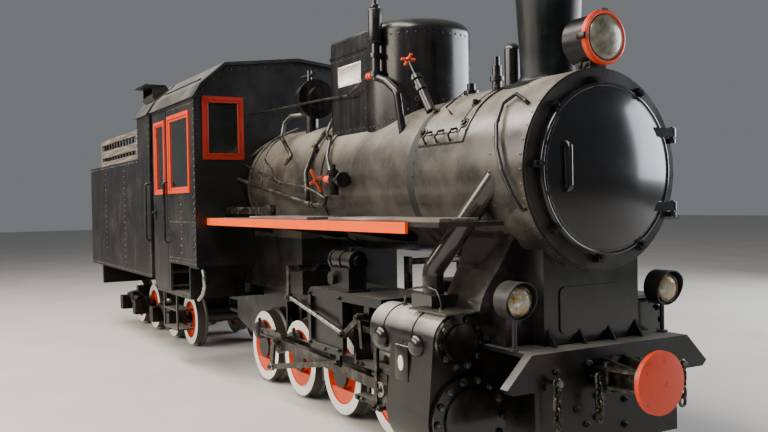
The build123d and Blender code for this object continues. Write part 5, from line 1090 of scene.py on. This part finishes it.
class LOCO_OT_plates(bpy.types.Operator):
    """Blank plates on the casing and the cylinder jackets"""
    bl_idname = "loco.plates"
    bl_label = "Blank plates"

    def execute(self, context):
        plate = softened(block(at(-0.91, -0.390, 2.57), at(-0.53, -0.386, 2.73)), 0.003)
        shape(plate, lambda middle, normal: normal.y < -0.98, inset(0.012), raised(y=0.0015))
        settle(plate, "casing_plate", "white")
        screw = rivet(0.007, 0.004)
        corners = on_flank(-1, 0.3905, [(x, z) for x in (-0.895, -0.545) for z in (2.585, 2.715)])
        settle(strewn(screw, corners), "casing_plate_screws", "works")
        # the jacket's flank leans in by 40 mm over 440 mm
        lean = math.atan2(0.04, 0.44)
        holders = []
        ovals = []
        for side in SIDES:
            middle = at(0.872, side * 0.8985, 0.715)
            face = middle + Vector((0, side * math.cos(lean), math.sin(lean))) * 0.011
            holders.append(softened(flank_block(side, (0.80, 0.945), (0.896, 0.911), (0.61, 0.82)), 0.004))
            oval = disc(0.03, 0.006, face, (0, side, 0), 28)
            take(oval)
            bpy.ops.object.mode_set(mode="EDIT")
            bpy.ops.mesh.select_all(action="SELECT")
            bpy.ops.transform.resize(value=(1.0, 1.0, 1.5), center_override=tuple(middle))
            bpy.ops.object.mode_set(mode="OBJECT")
            ovals.append(softened(oval, 0.002))
        settle(joined(holders), "jacket_plates", "chest")
        settle(joined(ovals), "jacket_ovals", "white")
        bolts = [place for side in SIDES for place in on_flank(side, 0.907, ((0.83, 0.835), (0.915, 0.835)))]
        settle(strewn(screw, bolts), "jacket_plate_screws", "works")
        discard(screw)
        return {"FINISHED"}


class LOCO_OT_boards(bpy.types.Operator):
    """Loose planks on the running boards and the bars of the bunker slots"""
    bl_idname = "loco.boards"
    bl_label = "Boards"

    def execute(self, context):
        planks = []
        for side in SIDES:
            # two runs of planks, three abreast
            for x0, x1 in ((-1.55, -0.42), (-0.05, 1.3)):
                for y in (0.64, 0.735, 0.83):
                    # each plank ends a little further on than the one inside it
                    plank = flank_block(side, (x0, x1 + (y - 0.7) * 0.1), (y, y + 0.088), (1.5405, 1.562))
                    planks.append(softened(plank, 0.003))
        settle(joined(planks), "board_planks", "planks")
        bars = []
        for side in SIDES:
            for x, _ in row((-6.7, 0), (-4.95, 0), 0.16):
                upright = flank_block(side, (x - 0.011, x + 0.011), (1.014, 1.034), (2.265, 2.495))
                bars.append(softened(upright, 0.003, 1))
        settle(joined(bars), "bunker_bars", "under", body="tender")
        return {"FINISHED"}


class LOCO_OT_fittings(bpy.types.Operator):
    """Chest pipe and straps, conduits, unions, gutters, overflows, oil cups, door latches and cab gauges"""
    bl_idname = "loco.fittings"
    bl_label = "Small fittings"

    def execute(self, context):
        # x and z along the pipe
        route = ((0.664, 1.0), (0.664, 1.07), (0.70, 1.12), (0.80, 1.14), (0.93, 1.155), (1.02, 1.14), (1.064, 1.08),
                 (1.064, 1.0))
        tube = bar([at(x, -0.75, z) for x, z in route], 0.007)
        ends = [softened(disc(0.016, 0.03, at(x, -0.75, 1.015), (0, 0, 1), 6), 0.002) for x in (0.664, 1.064)]
        settle(joined([tube] + ends), "chest_pipe", "pipes")
        straps = [bar(circle(x, side * CHEST_Y, CHEST_Z, 0.1675, 14, 90 + side * 30, 90 - side * 87), 0.005)
                  for side in SIDES for x in (0.62, 0.95)]
        settle(joined(straps), "chest_straps", "under")
        # x and height along each conduit
        routes = (((-2.45, 2.330), (-2.42, 2.300), (-2.385, 2.238), (-2.332, 2.123), (-2.258, 1.994),
                   (-2.218, 1.853), (-2.215, 1.60)),
                  ((-2.315, 2.087), (-2.20, 2.040), (-2.053, 1.994), (-1.892, 1.874), (-1.633, 1.836)))
        wires = [bar([on_jacket(x, z, 0.541) for x, z in route], 0.006) for route in routes]
        settle(joined(wires), "jacket_conduits", "pipes")
        # x, height and distance from the boiler's axis at both ends of a run, then the union's share, radius, length
        runs = (((-1.158, 2.143, 0.575), (-1.170, 1.907, 0.575), 0.16, 0.034, 0.032),
                ((-1.130, 2.235, 0.570), (-0.925, 2.150, 0.570), 0.55, 0.028, 0.03),
                ((-1.640, 1.845, 0.612), (-1.090, 1.790, 0.612), 0.06, 0.017, 0.03),
                ((-2.210, 1.965, 0.610), (-1.640, 1.845, 0.612), 0.35, 0.015, 0.026))
        unions = [union(on_jacket(*start), on_jacket(*end), *size) for start, end, *size in runs]
        settle(joined(unions), "pipe_unions", "works")
        gutters = [bar([at(x, side * 0.93, 2.859) for x in (-3.95, -2.75)], 0.014) for side in SIDES]
        settle(joined(gutters), "roof_gutters", "sheet")
        bends = ((-2.66, 1.09), (-2.61, 0.99), (-2.60, 0.90), (-2.66, 0.82), (-2.79, 0.757))
        spill = [bar([at(x, side * 0.98, z) for x, z in bends], 0.018, 3) for side in SIDES]
        settle(joined(spill), "overflow_pipes", "polished")
        latch_x = -4.03
        for side, name in SIDES.items():
            x, z = CRANK[side]
            cups = []
            for number in range(1, 5):
                axle = JOINT[f"axle_{number}_turn"]
                place = (axle.x + x, side * 0.5175, axle.z + z + 0.078)
                cups.append(button(0.016, 0.03, place, (0, 0, 1), 12, 0.006, 0.008, 0.002, 1))
            settle(joined(cups), f"oil_cups_{name}", "works", f"coupling_rod_{name}")
            base = softened(flank_block(side, (latch_x - 0.02, latch_x + 0.02), (1.05, 1.058), (1.52, 1.62)), 0.003)
            lever = bar([at(latch_x, side * 1.055, 1.6), at(latch_x, side * 1.085, 1.6),
                         at(latch_x + 0.11, side * 1.088, 1.595)], 0.009)
            settle(joined([base, lever]), f"door_latch_{name}", "works", body=f"cab_door_{name}")
        cases = []
        dials = []
        for y, z in ((-0.18, 2.32), (0.12, 2.36), (0.34, 2.28)):
            cases.append(softened(disc(0.085, 0.05, at(-3.02, y, z), (-1, 0, 0), 28), 0.006))
            dials.append(softened(disc(0.072, 0.003, at(-3.0705, y, z), (-1, 0, 0), 28), 0.001, 1))
        stand = bar([at(-2.95, -0.3, 2.3), at(-3.02, -0.3, 2.3), at(-3.02, 0.42, 2.34)], 0.012)
        settle(joined(cases + [stand]), "gauge_cases", "works")
        settle(joined(dials), "gauge_dials", "dial")
        return {"FINISHED"}


class LOCO_PT_panel(bpy.types.Panel):
    """Lists the steps that dress the locomotive"""
    bl_idname = "LOCO_PT_panel"
    bl_label = "Locomotive"
    bl_space_type = "VIEW_3D"
    bl_region_type = "UI"
    bl_category = "Locomotive"

    def draw(self, context):
        for settings in (context.scene.loco_sizes, context.scene.loco_colours):
            for name in settings.__annotations__:
                self.layout.prop(settings, name)
        for step in STEPS:
            self.layout.operator(step.bl_idname)


STEPS = (LOCO_OT_stage, LOCO_OT_finishes, LOCO_OT_rivets, LOCO_OT_nuts, LOCO_OT_sashes, LOCO_OT_motion,
         LOCO_OT_door, LOCO_OT_chimney, LOCO_OT_hatch, LOCO_OT_lamps, LOCO_OT_plates, LOCO_OT_boards,
         LOCO_OT_fittings)
CLASSES = (LocomotiveColours, LocomotiveSizes) + STEPS + (LOCO_PT_panel,)


def register():
    """Adds the classes, and the colours and sizes to the scene."""
    for item in CLASSES:
        bpy.utils.register_class(item)
    bpy.types.Scene.loco_colours = bpy.props.PointerProperty(type=LocomotiveColours)
    bpy.types.Scene.loco_sizes = bpy.props.PointerProperty(type=LocomotiveSizes)


def unregister():
    """Takes them away again."""
    del bpy.types.Scene.loco_sizes
    del bpy.types.Scene.loco_colours
    for item in reversed(CLASSES):
        bpy.utils.unregister_class(item)


def main():
    """Builds everything in order."""
    register()
    bpy.ops.loco.stage()
    bpy.ops.loco.finishes()
    bpy.ops.loco.rivets()
    bpy.ops.loco.nuts()
    bpy.ops.loco.sashes()
    bpy.ops.loco.motion()
    bpy.ops.loco.door()
    bpy.ops.loco.chimney()
    bpy.ops.loco.hatch()
    bpy.ops.loco.lamps()
    bpy.ops.loco.plates()
    bpy.ops.loco.boards()
    bpy.ops.loco.fittings()


if __name__ == "__main__":
    main()
